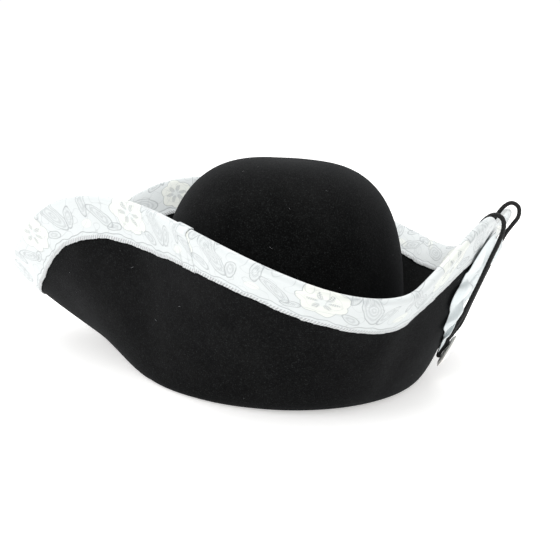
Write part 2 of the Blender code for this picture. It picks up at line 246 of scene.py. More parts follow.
    def relief(self, angle: np.ndarray, from_edge: np.ndarray) -> np.ndarray:
        """How far the soft felt stands out of its block, along the outer face's direction."""
        turn = (np.asarray(angle, float) + math.pi) % FULL_TURN - math.pi
        free = smoothstep(0.40, 0.62, np.abs(turn))
        low = smoothstep(0.0, 0.05, self.brim_width(turn) - from_edge)
        wave = np.sin(3 * turn + 0.7) * np.sin(38 * from_edge + 1.1) + 0.6 * np.sin(7 * turn + 2.1)
        crease = bump_at(turn, self.ridge_angle, 0.075) - 0.5 * bump_at(turn, self.ridge_angle - 0.2, 0.1)
        return free * low * (self.wave_rise * wave + self.ridge_rise * crease)

    def brim(self, angle: np.ndarray, from_edge: np.ndarray) -> BrimPlaces:
        """Places on the brim with their directions, the felt's soft relief included."""
        step = self.slope_step
        turn = self.slope_turn
        up = self.brim_point(angle, from_edge - step) - self.brim_point(angle, from_edge + step)
        side = self.brim_point(angle + turn, from_edge) - self.brim_point(angle - turn, from_edge)
        out = unit(np.cross(side, up))
        up = unit(up)
        at = self.brim_point(angle, from_edge) + out * self.relief(angle, from_edge)[:, None]
        return BrimPlaces(at, unit(np.cross(up, out)), up, out)

    def edge_angles(self, start: float, distances: np.ndarray) -> np.ndarray:
        """Angles at given distances along the brim's edge, walked from a start angle."""
        angle = start + np.linspace(0, 1.2 * FULL_TURN, 2400)
        points = self.brim_point(angle, np.zeros_like(angle))
        walked = np.concatenate([[0.0], np.cumsum(np.linalg.norm(np.diff(points, axis=0), axis=1))])
        return np.interp(distances, walked, angle)

    def edge_length(self) -> float:
        """Length once round the brim's edge."""
        angle = np.linspace(0, FULL_TURN, 2000)
        points = self.brim_point(angle, np.zeros_like(angle))
        return float(np.linalg.norm(np.diff(points, axis=0), axis=1).sum())


# ---------------------------------------------------------------- mesh helpers


def new_piece(
    name: str, mesh: bpy.types.Mesh, material: bpy.types.Material, body: Body
) -> bpy.types.Object:
    """Object made from a mesh, dressed and riding on its body.

    Args:
        name: the piece's name.
        mesh: its mesh, with its place in it.
        material: its finish.
        body: the body it moves with.

    Returns:
        The finished object.
    """
    piece = bpy.data.objects.new(name, mesh)
    bpy.context.scene.collection.objects.link(piece)
    return dress(piece, name, material, body)


def dress(
    piece: bpy.types.Object, name: str, material: bpy.types.Material, body: Body
) -> bpy.types.Object:
    """Name a piece, give it its finish, and let it ride on its body."""
    piece.name = name
    piece.data.name = name
    piece.data.materials.clear()
    piece.data.materials.append(material)
    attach(piece, body.value)
    log.info("%s: %d faces on %s", name, len(piece.data.polygons), body.value)
    return piece


def mesh_from(name: str, points: np.ndarray, faces: Sequence[Sequence[int]]) -> bpy.types.Mesh:
    """Smooth-shaded mesh from points and faces."""
    mesh = bpy.data.meshes.new(name)
    mesh.from_pydata(np.asarray(points, float).reshape(-1, 3).tolist(), [], faces)
    mesh.shade_smooth()
    return mesh


def grid_faces(rows: int, columns: int, closed: bool, first: int = 0, flip: bool = False) -> Faces:
    """Quads over a grid of points stored row by row.

    Args:
        rows: number of rows.
        columns: number of columns.
        closed: whether the last column joins the first.
        first: index of the grid's first point.
        flip: whether the faces look the other way.

    Returns:
        The quads' corners.
    """
    faces = []
    for row in range(rows - 1):
        for column in range(columns if closed else columns - 1):
            right = (column + 1) % columns
            a = first + row * columns
            quad = (a + column, a + right, a + columns + right, a + columns + column)
            faces.append(quad[::-1] if flip else quad)
    return faces


def slab_mesh(name: str, top: np.ndarray, under: np.ndarray, closed: bool) -> bpy.types.Mesh:
    """Closed slab of cloth between two grids of points.

    Args:
        name: the mesh's name.
        top: grid of points (rows, columns, 3) on the side whose quads face outwards.
        under: the matching grid on the other side.
        closed: whether the columns run right round.

    Returns:
        The closed mesh, its first half of points those of the top grid.
    """
    rows, columns = top.shape[:2]
    count = rows * columns
    faces = grid_faces(rows, columns, closed) + grid_faces(rows, columns, closed, count, True)
    last = (rows - 1) * columns
    for column in range(columns if closed else columns - 1):
        right = (column + 1) % columns
        faces.append((column, count + column, count + right, right))
        faces.append((last + column, last + right, count + last + right, count + last + column))
    if not closed:
        for row in range(rows - 1):
            a = row * columns
            b = a + columns
            faces.append((a, b, count + b, count + a))
            a += columns - 1
            b += columns - 1
            faces.append((a, count + a, count + b, b))
    return mesh_from(name, np.concatenate([top.reshape(-1, 3), under.reshape(-1, 3)]), faces)


def add_uv(mesh: bpy.types.Mesh, name: str, u: np.ndarray, v: np.ndarray) -> None:
    """UV map from one pair of values for each point of the mesh."""
    layer = mesh.uv_layers.new(name=name)
    corners = np.zeros(len(mesh.loops), np.int32)
    mesh.loops.foreach_get("vertex_index", corners)
    pairs = np.stack([np.ravel(u), np.ravel(v)], 1)[corners]
    layer.data.foreach_set("uv", pairs.astype(np.float32).ravel())


def face_outwards(mesh: bpy.types.Mesh) -> None:
    """Turn a closed mesh right side out if it is inside out."""
    mesh.calc_loop_triangles()
    points = np.zeros(len(mesh.vertices) * 3)
    mesh.vertices.foreach_get("co", points)
    corners = np.zeros(len(mesh.loop_triangles) * 3, np.int32)
    mesh.loop_triangles.foreach_get("vertices", corners)
    a, b, c = points.reshape(-1, 3)[corners.reshape(-1, 3)].transpose(1, 0, 2)
    if np.einsum("ij,ij->", a, np.cross(b, c)) < 0:
        mesh.flip_normals()


def deselect() -> None:
    """Leave nothing selected, in object mode."""
    if bpy.context.object and bpy.context.object.mode != "OBJECT":
        bpy.ops.object.mode_set(mode="OBJECT")
    bpy.ops.object.select_all(action="DESELECT")


def apply_modifiers(piece: bpy.types.Object) -> None:
    """Apply every modifier of the active piece, top to bottom."""
    for modifier in list(piece.modifiers):
        bpy.ops.object.modifier_apply(modifier=modifier.name)


def settle(piece: bpy.types.Object, place: Matrix) -> None:
    """Move a piece's own place into its mesh and leave its object at the origin."""
    piece.data.transform(place @ piece.matrix_world)
    piece.matrix_world = Matrix.Identity(4)


def capsule_points(length: float, radius: float, sides: int = 5) -> tuple[np.ndarray, Faces]:
    """Small stitch of thread along X, arched a little over the cloth.

    Args:
        length: distance between its two ends.
        radius: the thread's radius.
        sides: faces round it.

    Returns:
        Its points and faces.
    """
    stations = (
        (-0.5, 0.25, -0.9), (-0.42, 0.85, -0.2), (0.0, 1.0, 0.35), (0.42, 0.85, -0.2), (0.5, 0.25, -0.9),
    )
    points = []
    for along, thick, lift in stations:
        for i in range(sides):
            turn = FULL_TURN * i / sides
            points.append(
                (along * length, thick * radius * math.cos(turn), radius * (lift + thick * math.sin(turn)))
            )
    faces = grid_faces(len(stations), sides, True)
    faces.append(tuple(range(sides))[::-1])
    faces.append(tuple(range((len(stations) - 1) * sides, len(stations) * sides)))
    return np.array(points), faces


def scatter(
    name: str,
    shape: tuple[np.ndarray, Faces],
    at: np.ndarray,
    x: np.ndarray,
    z: np.ndarray,
    size: np.ndarray | None = None,
) -> bpy.types.Mesh:
    """One mesh of many copies of a small shape.

    Args:
        name: the mesh's name.
        shape: the shape's points and faces.
        at: each copy's place.
        x: each copy's lengthwise direction.
        z: each copy's upward direction.
        size: each copy's scale, or None where they are all the shape's own size.

    Returns:
        The joined mesh.
    """
    points, faces = shape
    z = unit(z)
    x = unit(x - z * np.sum(x * z, 1, keepdims=True))
    y = np.cross(z, x)
    turned = (
        points[None, :, 0:1] * x[:, None]
        + points[None, :, 1:2] * y[:, None]
        + points[None, :, 2:3] * z[:, None]
    )
    if size is not None:
        turned = turned * size[:, None, None]
    everything = (turned + at[:, None]).reshape(-1, 3)
    joined = [tuple(i + copy * len(points) for i in face) for copy in range(len(at)) for face in faces]
    mesh = mesh_from(name, everything, joined)
    face_outwards(mesh)
    return mesh


# ---------------------------------------------------------------- wiring of finishes


@dataclass(frozen=True)
class Term:
    """Value on a node's socket that can be added, multiplied and compared."""

    sketch: "Sketch"
    socket: bpy.types.NodeSocket

    def __add__(self, other: "Term | float") -> "Term":
        """Sum."""
        return self.sketch.math("ADD", self, other)

    def __radd__(self, other: float) -> "Term":
        """Sum with a number first."""
        return self.sketch.math("ADD", other, self)

    def __sub__(self, other: "Term | float") -> "Term":
        """Difference."""
        return self.sketch.math("SUBTRACT", self, other)

    def __rsub__(self, other: float) -> "Term":
        """Difference from a number."""
        return self.sketch.math("SUBTRACT", other, self)

    def __mul__(self, other: "Term | float") -> "Term":
        """Product."""
        return self.sketch.math("MULTIPLY", self, other)

    def __rmul__(self, other: float) -> "Term":
        """Product with a number first."""
        return self.sketch.math("MULTIPLY", other, self)

    def __abs__(self) -> "Term":
        """Size without its sign."""
        return self.sketch.math("ABSOLUTE", self)

    def at_most(self, other: "Term | float") -> "Term":
        """The smaller of the two."""
        return self.sketch.math("MINIMUM", self, other)

    def at_least(self, other: "Term | float") -> "Term":
        """The larger of the two."""
        return self.sketch.math("MAXIMUM", self, other)

    def below(self, edge: float, soft: float) -> "Term":
        """Mask of 1 where the value is under an edge, fading over a soft width."""
        return self.sketch.math("MULTIPLY_ADD", self, -1 / soft, edge / soft + 0.5, clamp=True)

    def above(self, edge: float, soft: float) -> "Term":
        """Mask of 1 where the value is over an edge, fading over a soft width."""
        return self.sketch.math("MULTIPLY_ADD", self, 1 / soft, 0.5 - edge / soft, clamp=True)

    def sine(self, length: float, offset: float = 0.0) -> "Term":
        """Sine wave of a given wavelength."""
        return self.sketch.math("SINE", self.sketch.math("MULTIPLY_ADD", self, FULL_TURN / length, offset))


class Sketch:
    """Node tree being wired for a finish or for a shared group."""

    def __init__(self, tree: bpy.types.NodeTree) -> None:
        """Start on a tree."""
        self.tree = tree

    def node(self, kind: str, **settings: object) -> bpy.types.Node:
        """New node of a kind, with its settings."""
        made = self.tree.nodes.new(kind)
        for name, value in settings.items():
            setattr(made, name, value)
        return made

    def feed(self, socket: bpy.types.NodeSocket, value: object) -> None:
        """Link a term or socket into a socket, or set it to a number or colour."""
        if isinstance(value, Term):
            self.tree.links.new(value.socket, socket)
        elif isinstance(value, bpy.types.NodeSocket):
            self.tree.links.new(value, socket)
        else:
            socket.default_value = value

    def math(self, operation: str, *values: "Term | float", clamp: bool = False) -> Term:
        """Math node on one to three values."""
        made = self.node("ShaderNodeMath", operation=operation, use_clamp=clamp)
        for socket, value in zip(made.inputs, values):
            self.feed(socket, value)
        return Term(self, made.outputs[0])

    def object_place(self) -> bpy.types.NodeSocket:
        """The surface's place in the object."""
        return self.node("ShaderNodeTexCoord").outputs["Object"]

    def uv_place(self, name: str) -> bpy.types.NodeSocket:
        """The surface's place in a UV map."""
        return self.node("ShaderNodeUVMap", uv_map=name).outputs["UV"]

    def split(self, vector: bpy.types.NodeSocket) -> tuple[Term, Term, Term]:
        """The three parts of a vector."""
        made = self.node("ShaderNodeSeparateXYZ")
        self.feed(made.inputs[0], vector)
        return tuple(Term(self, socket) for socket in made.outputs)

    def join(self, x: object, y: object, z: object = 0.0) -> bpy.types.NodeSocket:
        """Vector from its parts."""
        made = self.node("ShaderNodeCombineXYZ")
        for socket, value in zip(made.inputs, (x, y, z)):
            self.feed(socket, value)
        return made.outputs[0]

    def noise(self, place: object, scale: float, detail: float = 2.0, roughness: float = 0.5) -> Term:
        """Noise from 0 to 1."""
        made = self.node("ShaderNodeTexNoise")
        self.feed(made.inputs["Vector"], place)
        made.inputs["Scale"].default_value = scale
        made.inputs["Detail"].default_value = detail
        made.inputs["Roughness"].default_value = roughness
        return Term(self, made.outputs["Fac"])

    def blend(self, share: object, low: object, high: object) -> bpy.types.NodeSocket:
        """Colour mixed from low to high."""
        made = self.node("ShaderNodeMix", data_type="RGBA")
        self.feed(made.inputs[0], share)
        self.feed(made.inputs[6], rgba(low) if isinstance(low, tuple) else low)
        self.feed(made.inputs[7], rgba(high) if isinstance(high, tuple) else high)
        return made.outputs[2]

    def ellipse(self, x: Term, y: Term, centre: Pair, size: Pair, deg: float) -> Term:
        """Rough distance outside a turned ellipse, negative inside it.

        Args:
            x: place along the cloth.
            y: place across the cloth.
            centre: the ellipse's middle.
            size: its two half sizes.
            deg: how far its first half size is turned from x.

        Returns:
            The distance.
        """
        c, s = math.cos(math.radians(deg)), math.sin(math.radians(deg))
        dx = x - centre[0]
        dy = y - centre[1]
        a = dx * (c / size[0]) + dy * (s / size[0])
        b = dx * (-s / size[1]) + dy * (c / size[1])
        return (self.math("SQRT", a * a + b * b) - 1.0) * min(size)

    def round_place(self, x: Term, y: Term, centre: Pair) -> tuple[Term, Term]:
        """Distance and angle of a place round a centre."""
        dx = x - centre[0]
        dy = y - centre[1]
        return self.math("SQRT", dx * dx + dy * dy), self.math("ARCTAN2", dy, dx)

    def group(self, tree: bpy.types.NodeTree, **values: object) -> bpy.types.Node:
        """A shared group placed in this tree, its inputs fed by name."""
        made = self.node("ShaderNodeGroup", node_tree=tree)
        for name, value in values.items():
            self.feed(made.inputs[name.replace("_", " ")], value)
        return made


def rgba(colour: tuple[float, ...]) -> tuple[float, float, float, float]:
    """Colour with full alpha."""
    return (*colour[:3], 1.0)


def new_group(name: str, inputs: dict[str, str], outputs: dict[str, str]) -> tuple[Sketch, dict, dict]:
    """Empty shared group with named sockets.

    Args:
        name: the group's name.
        inputs: socket kind for each input's name.
        outputs: socket kind for each output's name.

    Returns:
        The sketch to wire it with, its input sockets and its output sockets by name.
    """
    tree = bpy.data.node_groups.new(name, "ShaderNodeTree")
    for socket, kind in inputs.items():
        tree.interface.new_socket(name=socket, in_out="INPUT", socket_type=kind)
    for socket, kind in outputs.items():
        tree.interface.new_socket(name=socket, in_out="OUTPUT", socket_type=kind)
    sketch = Sketch(tree)
    start = sketch.node("NodeGroupInput")
    end = sketch.node("NodeGroupOutput")
    return sketch, {s.name: s for s in start.outputs}, {s.name: s for s in end.inputs}


class SharedEffects:
    """Node groups that more than one finish uses, built once.

    The figure's shapes are listed in millimetres: each has its middle first.
    """

    BLOOMS = (
        ((0.0, 8.0), 14.0, 7, 0.17), ((-46.0, -14.5), 12.0, 6, 0.18), ((52.0, -14.5), 12.0, 6, 0.18),
    )
    LEAVES = (
        ((31.0, 8.0), (14.5, 6.2), 62.0), ((44.0, 13.0), (9.0, 3.4), 118.0),
        ((-27.0, 13.0), (10.5, 4.2), 38.0), ((-38.0, 5.0), (9.0, 3.0), 100.0),
        ((-16.0, -14.0), (13.0, 5.2), 24.0), ((14.0, -17.0), (11.0, 4.4), 148.0),
        ((33.0, -9.0), (8.0, 3.0), 80.0), ((4.0, -8.5), (7.5, 3.2), 12.0),
        ((20.0, -3.0), (8.0, 3.0), 130.0), ((-30.0, -3.5), (6.5, 2.6), 160.0),
        ((19.5, 19.0), (7.5, 3.0), 20.0), ((-17.5, 19.5), (6.0, 2.4), 165.0),
    )
    PATCHES = (
        ((24.0, -19.5), (6.0, 2.6), 10.0), ((-41.0, 18.5), (5.2, 2.8), -20.0),
        ((-4.0, -9.0), (6.0, 2.4), 35.0),
    )

    def __init__(self) -> None:
        """Build every group."""
        self.fibres = self.build_fibres()
        self.weave = self.build_weave()
        self.soiling = self.build_soiling()
        self.brocade = self.build_brocade()

    def build_fibres(self) -> bpy.types.NodeTree:
        """Matted short fibres: fine grain over broad patches."""
        s, given, out = new_group(
            "matted_fibres",
            {"Place": "NodeSocketVector", "Fineness": "NodeSocketFloat"},
            {"Grain": "NodeSocketFloat", "Patches": "NodeSocketFloat"},
        )
        x, y, z = s.split(given["Place"])
        fine = Term(s, given["Fineness"])
        near = s.join(x * fine, y * fine, z * fine)
        swirl = s.noise(near, 0.22, 2.0)
        bent = s.join(x * fine + swirl * 3.0, y * fine - swirl * 2.0, z * fine + swirl)
        hairs = s.noise(bent, 1.0, 4.0, 0.65)
        pits = s.noise(bent, 0.35, 2.0)
        s.feed(out["Grain"], hairs * 0.7 + pits * 0.3)
        s.feed(out["Patches"], s.noise(near, 0.035, 3.0))
        return s.tree

    def build_weave(self) -> bpy.types.NodeTree:
        """Plain weave of two sets of threads."""
        s, given, out = new_group(
            "thread_weave",
            {
                "Place": "NodeSocketVector",
                "Warp": "NodeSocketFloat",
                "Weft": "NodeSocketFloat",
                "Looseness": "NodeSocketFloat",
            },
            {"Height": "NodeSocketFloat", "Gap": "NodeSocketFloat"},
        )
        u, v, _ = s.split(given["Place"])
        wander = (s.noise(given["Place"], 260.0, 2.0) - 0.5) * Term(s, given["Looseness"])
        warp = s.math("SINE", u * Term(s, given["Warp"]) * FULL_TURN + wander)
        weft = s.math("SINE", v * Term(s, given["Weft"]) * FULL_TURN - wander)
        over = s.math("MULTIPLY", warp, weft)
        s.feed(out["Height"], abs(warp).at_least(abs(weft)) + over * 0.35)
        s.feed(out["Gap"], (abs(warp) + abs(weft)).below(0.45, 0.3))
        return s.tree

    def build_soiling(self) -> bpy.types.NodeTree:
        """Slow change of shade over a surface, with a few faint marks."""
        s, given, out = new_group(
            "handling_marks",
            {"Place": "NodeSocketVector", "Shade": "NodeSocketColor", "Amount": "NodeSocketFloat"},
            {"Colour": "NodeSocketColor", "Mark": "NodeSocketFloat"},
        )
        broad = s.noise(given["Place"], 28.0, 3.0)
        marks = s.noise(given["Place"], 130.0, 3.0, 0.6).above(0.66, 0.1)
        mark = (broad * 0.6 + marks * 0.4) * Term(s, given["Amount"])
        grey = s.blend(mark, given["Shade"], (0.28, 0.27, 0.26))
        s.feed(out["Colour"], grey)
        s.feed(out["Mark"], mark)
        return s.tree

    def build_brocade(self) -> bpy.types.NodeTree:
        """Woven figure of the binding: scalloped blooms, stippled leaves and a waved line.

        The place's first part runs along the ribbon and its second across it from the fold, in metres.
        """
        masks = ("Bloom", "Heart", "Line", "Leaf", "Selvedge", "Height")
        s, given, out = new_group(
            "brocade_figure", {"Place": "NodeSocketVector"}, dict.fromkeys(masks, "NodeSocketFloat")
        )
        u, v, _ = s.split(given["Place"])
        drift_a = s.noise(given["Place"], 70.0, 2.0) - 0.5
        drift_b = s.noise(s.join(v + 3.0, u), 70.0, 2.0) - 0.5
        u_mm = u * 1000.0 + drift_a * 4.6
        v_mm = v * 1000.0 + drift_b * 4.2
        figure = BrocadeFigure(s, s.math("WRAP", u_mm, 49.0, -49.0), v_mm)
        for bloom in self.BLOOMS:
            figure.bloom(*bloom)
        for leaf in self.LEAVES:
            figure.leaf(*leaf)
        for patch in self.PATCHES:
            figure.patch(*patch)
        scroll = abs(s.noise(s.join(u_mm, v_mm), 0.11, 0.0) - 0.5)
        figure.lines = figure.lines.at_least(scroll.below(0.012, 0.012) * 0.45)
        across = abs(v * 1000.0)
        wave = across + u_mm.sine(31.0) * 0.7 + u_mm.sine(11.3, 1.0) * 0.35 - 25.3
        figure.line(abs(wave), 0.30)
        selvedge = across.above(27.0, 0.25)
        twill = (u * 1000.0 + across * 0.75).sine(2.1)
        inside = 1.0 - selvedge
        s.feed(out["Bloom"], figure.blooms * inside)
        s.feed(out["Heart"], figure.hearts * inside)
        s.feed(out["Line"], figure.lines * inside)
        s.feed(out["Leaf"], figure.leaves * inside)
        # Selvedge mask: the twill's stripes, which carry painted shade between the corded ribs.
        s.feed(out["Selvedge"], selvedge * (twill * 0.5 + 0.5))
        ground = (u * 1000.0 + v * 1000.0).sine(0.62) * 0.12
        height = ground + figure.blooms * 0.5 - figure.lines * 0.9
        s.feed(out["Height"], height + figure.leaves * 0.45 + selvedge * twill * 0.9)
        return s.tree


class BrocadeFigure:
    """Masks of the woven figure as it is drawn, in millimetres."""

    def __init__(self, sketch: Sketch, x: Term, y: Term) -> None:
        """Start with a plain ground."""
        self.sketch = sketch
        self.x = x
        self.y = y
        self.blooms: Term | float = 0.0
        self.hearts: Term | float = 0.0
        self.lines: Term | float = 0.0
        self.leaves: Term | float = 0.0

    def add(self, layer: Term | float, mask: Term) -> Term:
        """A layer with one more shape on it."""
        return mask if isinstance(layer, float) else layer.at_least(mask)

    def line(self, distance: Term, half: float) -> None:
        """Thin line where a distance is near nothing."""
        self.lines = self.add(self.lines, distance.below(half, 0.22))

    def bloom(self, centre: Pair, radius: float, lobes: int, depth: float) -> None:
        """Scalloped bloom with an outline, a pale heart and a ring of stippled stamens.

        Args:
            centre: its middle.
            radius: its reach to the lobes' tips.
            lobes: number of lobes.
            depth: share of the radius that the scallops cut in.
        """
        s = self.sketch
        far, turn = s.round_place(self.x * 0.86 + centre[0] * 0.14, self.y, centre)
        scallop = abs(s.math("SINE", turn * (lobes / 2)))
        edge = far - scallop * (radius * depth) - radius * (1 - depth)
        self.blooms = self.add(self.blooms, edge.below(0.0, 0.3))
        self.line(abs(edge), 0.20)
        inner = far - scallop * (radius * 0.05) - radius * 0.62
        self.lines = self.lines.at_least(abs(inner).below(0.12, 0.2) * 0.35)
        self.hearts = self.add(self.hearts, far.below(radius * 0.30, 0.5))
        fold = s.math("WRAP", turn, math.pi / 6, -math.pi / 6)
        along = far * s.math("COSINE", fold) - radius * 0.40
        aside = far * s.math("SINE", fold)
        petal = s.math("SQRT", (along * along) * 0.13 + (aside * aside) * 0.42)
        stipple = (far.sine(0.95) + turn.sine(0.21)).above(0.1, 0.7)
        self.lines = self.lines.at_least(petal.below(1.0, 0.25) * (stipple * 0.75 + 0.20))

    def leaf(self, centre: Pair, size: Pair, deg: float) -> None:
        """Stippled leaf with rows of dots that follow its outline.

        Args:
            centre: its middle.
            size: its half length and half width.
            deg: how far its length is turned.
        """
        s = self.sketch
        edge = s.ellipse(self.x, self.y, centre, size, deg)
        self.line(abs(edge), 0.20)
        rows = edge.sine(1.75, 1.2)
        dots = (self.x + self.y * 0.4).sine(0.95) * 0.9 + rows
        inside = edge.below(-0.25, 0.3)
        self.leaves = self.add(self.leaves, inside * (dots.above(0.25, 0.8) * 0.9 + 0.08))

    def patch(self, centre: Pair, size: Pair, deg: float) -> None:
        """Small plain ivory patch with a faint outline."""
        edge = self.sketch.ellipse(self.x, self.y, centre, size, deg)
        self.blooms = self.blooms.at_least(edge.below(0.0, 0.5) * 0.8)
        self.lines = self.lines.at_least(abs(edge).below(0.1, 0.3) * 0.4)


# ---------------------------------------------------------------- finishes


def new_finish(name: str) -> tuple[Sketch, bpy.types.Material, bpy.types.Node]:
    """Empty material with its Principled shader."""
    material = bpy.data.materials.new(name)
    material.use_nodes = True
    sketch = Sketch(material.node_tree)
    return sketch, material, material.node_tree.nodes["Principled BSDF"]


def set_values(shader: bpy.types.Node, values: dict[str, object]) -> None:
    """Set a shader's inputs to fixed values, by their names."""
    for name, value in values.items():
        shader.inputs[name].default_value = value


def set_bump(
    s: Sketch, shader: bpy.types.Node, height: object, depth: float, strength: float = 1.0
) -> None:
    """Feed a height through a Bump node into the shader's normal."""
    bump = s.node("ShaderNodeBump")
    bump.inputs["Distance"].default_value = depth
    bump.inputs["Strength"].default_value = strength
    s.feed(bump.inputs["Height"], height)
    s.feed(shader.inputs["Normal"], bump.outputs["Normal"])


@dataclass(frozen=True)
class FeltFinish:
    """Black wool felt with a matted nap."""

    shadow: Triple = (0.0008, 0.0009, 0.0009)
    nap: Triple = (0.0066, 0.0069, 0.0068)
    fleck: Triple = (0.026, 0.0285, 0.0285)
    fineness: float = 1150.0
    sheen: float = 0.045
    gloss: float = 0.05

    def material(self, effects: SharedEffects) -> bpy.types.Material:
        """The felt's material."""
        s, material, shader = new_finish("black_wool_felt")
        fibres = s.group(effects.fibres, Place=s.object_place(), Fineness=self.fineness)
        grain = Term(s, fibres.outputs["Grain"])
        patches = Term(s, fibres.outputs["Patches"])
        share = (grain - 0.42) * 2.8 + (patches - 0.5) * 1.0
        base = s.blend(share.at_least(0.0).at_most(1.0), self.shadow, self.nap)
        flecks = s.noise(s.object_place(), 1250.0, 3.0, 0.7).above(0.60, 0.08) * (grain * 0.9)
        s.feed(shader.inputs["Base Color"], s.blend(flecks.at_most(1.0), base, self.fleck))
        s.feed(shader.inputs["Roughness"], 0.97 - patches * 0.12)
        set_values(shader, {
            "Specular IOR Level": self.gloss,
            "Sheen Weight": self.sheen,
            "Sheen Roughness": 0.45,
            "Sheen Tint": (0.55, 0.57, 0.62, 1.0),
        })
        set_bump(s, shader, grain + patches * 0.6, 0.00035, 0.8)
        return material

    def fibre_material(self) -> bpy.types.Material:
        """The loose fibres' material, a shade lighter than the nap."""
        s, material, shader = new_finish("loose_black_fibre")
        tone = s.noise(s.object_place(), 400.0)
        s.feed(shader.inputs["Base Color"], s.blend(tone, (0.008, 0.008, 0.009), (0.050, 0.054, 0.054)))
        s.feed(shader.inputs["Roughness"], 0.8 + tone * 0.2)
        set_values(shader, {"Specular IOR Level": 0.15})
        return material

    def lint_material(self) -> bpy.types.Material:
        """Pale lint caught on the nap."""
        s, material, shader = new_finish("pale_lint")
        tone = s.noise(s.object_place(), 900.0)
        s.feed(shader.inputs["Base Color"], s.blend(tone, (0.16, 0.16, 0.17), (0.5, 0.5, 0.52)))
        s.feed(shader.inputs["Roughness"], 0.85 + tone * 0.1)
        return material


@dataclass(frozen=True)
class BrocadeFinish:
    """White and silver brocade ribbon with ivory blooms."""

    uv: str = "ribbon"
    ground: Triple = (0.588, 0.618, 0.621)
    ivory: Triple = (0.645, 0.665, 0.628)
    heart: Triple = (0.600, 0.630, 0.620)
    line: Triple = (0.345, 0.370, 0.380)
    leaf: Triple = (0.430, 0.457, 0.464)
    # cord_light and cord_dark: the selvedge's twill stripes, cord_dark being painted shade in the troughs
    # between the corded ribs.
    cord_light: Triple = (0.63, 0.65, 0.65)
    cord_dark: Triple = (0.33, 0.345, 0.35)

    def material(self, effects: SharedEffects) -> bpy.types.Material:
        """The ribbon's material."""
        s, material, shader = new_finish("silver_brocade")
        place = s.uv_place(self.uv)
        figure = s.group(effects.brocade, Place=place).outputs
        weave = s.group(effects.weave, Place=place, Warp=1500.0, Weft=2300.0, Looseness=1.4).outputs
        tone = s.noise(place, 55.0, 2.0)
        ground = s.blend(tone, self.ground, tuple(0.93 * c for c in self.ground))
        colour = s.blend(figure["Bloom"], ground, self.ivory)
        colour = s.blend(figure["Heart"], colour, self.heart)
        colour = s.blend(figure["Leaf"], colour, self.leaf)
        colour = s.blend(figure["Line"], colour, self.line)
        # The selvedge's stripes follow the twill's bump: painted light and shade on its ribs.
        across = abs(s.split(place)[1] * 1000.0).above(27.0, 0.25)
        colour = s.blend(across, colour, s.blend(figure["Selvedge"], self.cord_dark, self.cord_light))
        soil = s.group(effects.soiling, Place=s.object_place(), Shade=colour, Amount=0.10).outputs
        s.feed(shader.inputs["Base Color"], soil["Colour"])
        gloss = Term(s, figure["Bloom"]) * -0.08 + Term(s, figure["Leaf"]) * 0.12 + 0.52
        s.feed(shader.inputs["Roughness"], gloss)
        set_values(shader, {"Specular IOR Level": 0.35, "Sheen Weight": 0.12, "Sheen Roughness": 0.4})
        height = Term(s, figure["Height"]) + Term(s, weave["Height"]) * 0.35
        set_bump(s, shader, height, 0.00016, 0.9)
        return material


@dataclass(frozen=True)
class SatinFinish:
    """White satin ribbon with a soft sheen across its threads."""

    uv: str = "ruffle"
    bright: Triple = (0.60, 0.645, 0.65)
    dull: Triple = (0.49, 0.535, 0.55)

    def material(self, effects: SharedEffects) -> bpy.types.Material:
        """The satin's material."""
        s, material, shader = new_finish("white_satin")
        place = s.uv_place(self.uv)
        weave = s.group(effects.weave, Place=place, Warp=2600.0, Weft=900.0, Looseness=0.8).outputs
        slubs = s.noise(s.join(s.split(place)[0] * 40.0, s.split(place)[1] * 900.0), 1.0, 2.0)
        colour = s.blend(slubs, self.dull, self.bright)
        soil = s.group(effects.soiling, Place=s.object_place(), Shade=colour, Amount=0.06).outputs
        s.feed(shader.inputs["Base Color"], soil["Colour"])
        s.feed(shader.inputs["Roughness"], slubs * 0.16 + 0.34)
        set_values(shader, {"Specular IOR Level": 0.5, "Sheen Weight": 0.25, "Sheen Roughness": 0.3})
        set_bump(s, shader, Term(s, weave["Height"]) * 0.5 + slubs, 0.00006, 0.7)
        return material


@dataclass(frozen=True)
class CordFinish:
    """Black braided cord with a slight lustre on its strands, painted darker in the grooves between them.
    """

    uv: str = "braid"
    # groove_shade: painted shade in the grooves between the strands; strand: the cord's own black.
    groove_shade: Triple = (0.0010, 0.0010, 0.0011)
    strand: Triple = (0.0095, 0.0095, 0.0100)

    def material(self, effects: SharedEffects) -> bpy.types.Material:
        """The cord's material."""
        s, material, shader = new_finish("black_braided_cord")
        place = s.uv_place(self.uv)
        height = Term(s, s.node("ShaderNodeAttribute", attribute_name="strand_height").outputs["Fac"])
        filaments = s.noise(s.join(s.split(place)[0] * 300.0, s.split(place)[1] * 9000.0), 1.0, 3.0)
        fibres = s.group(effects.fibres, Place=s.object_place(), Fineness=5000.0).outputs
        # Painted shade: darker where the strands sink into the grooves, with the filaments' own streaks on
        # top.
        share = height * 0.75 + filaments * 0.35
        s.feed(shader.inputs["Base Color"], s.blend(share.at_most(1.0), self.groove_shade, self.strand))
        s.feed(shader.inputs["Roughness"], 0.78 - height * 0.22)
        set_values(shader, {"Specular IOR Level": 0.22, "Sheen Weight": 0.03})
        set_bump(s, shader, filaments + Term(s, fibres["Grain"]) * 0.6, 0.00009, 0.8)
        return material


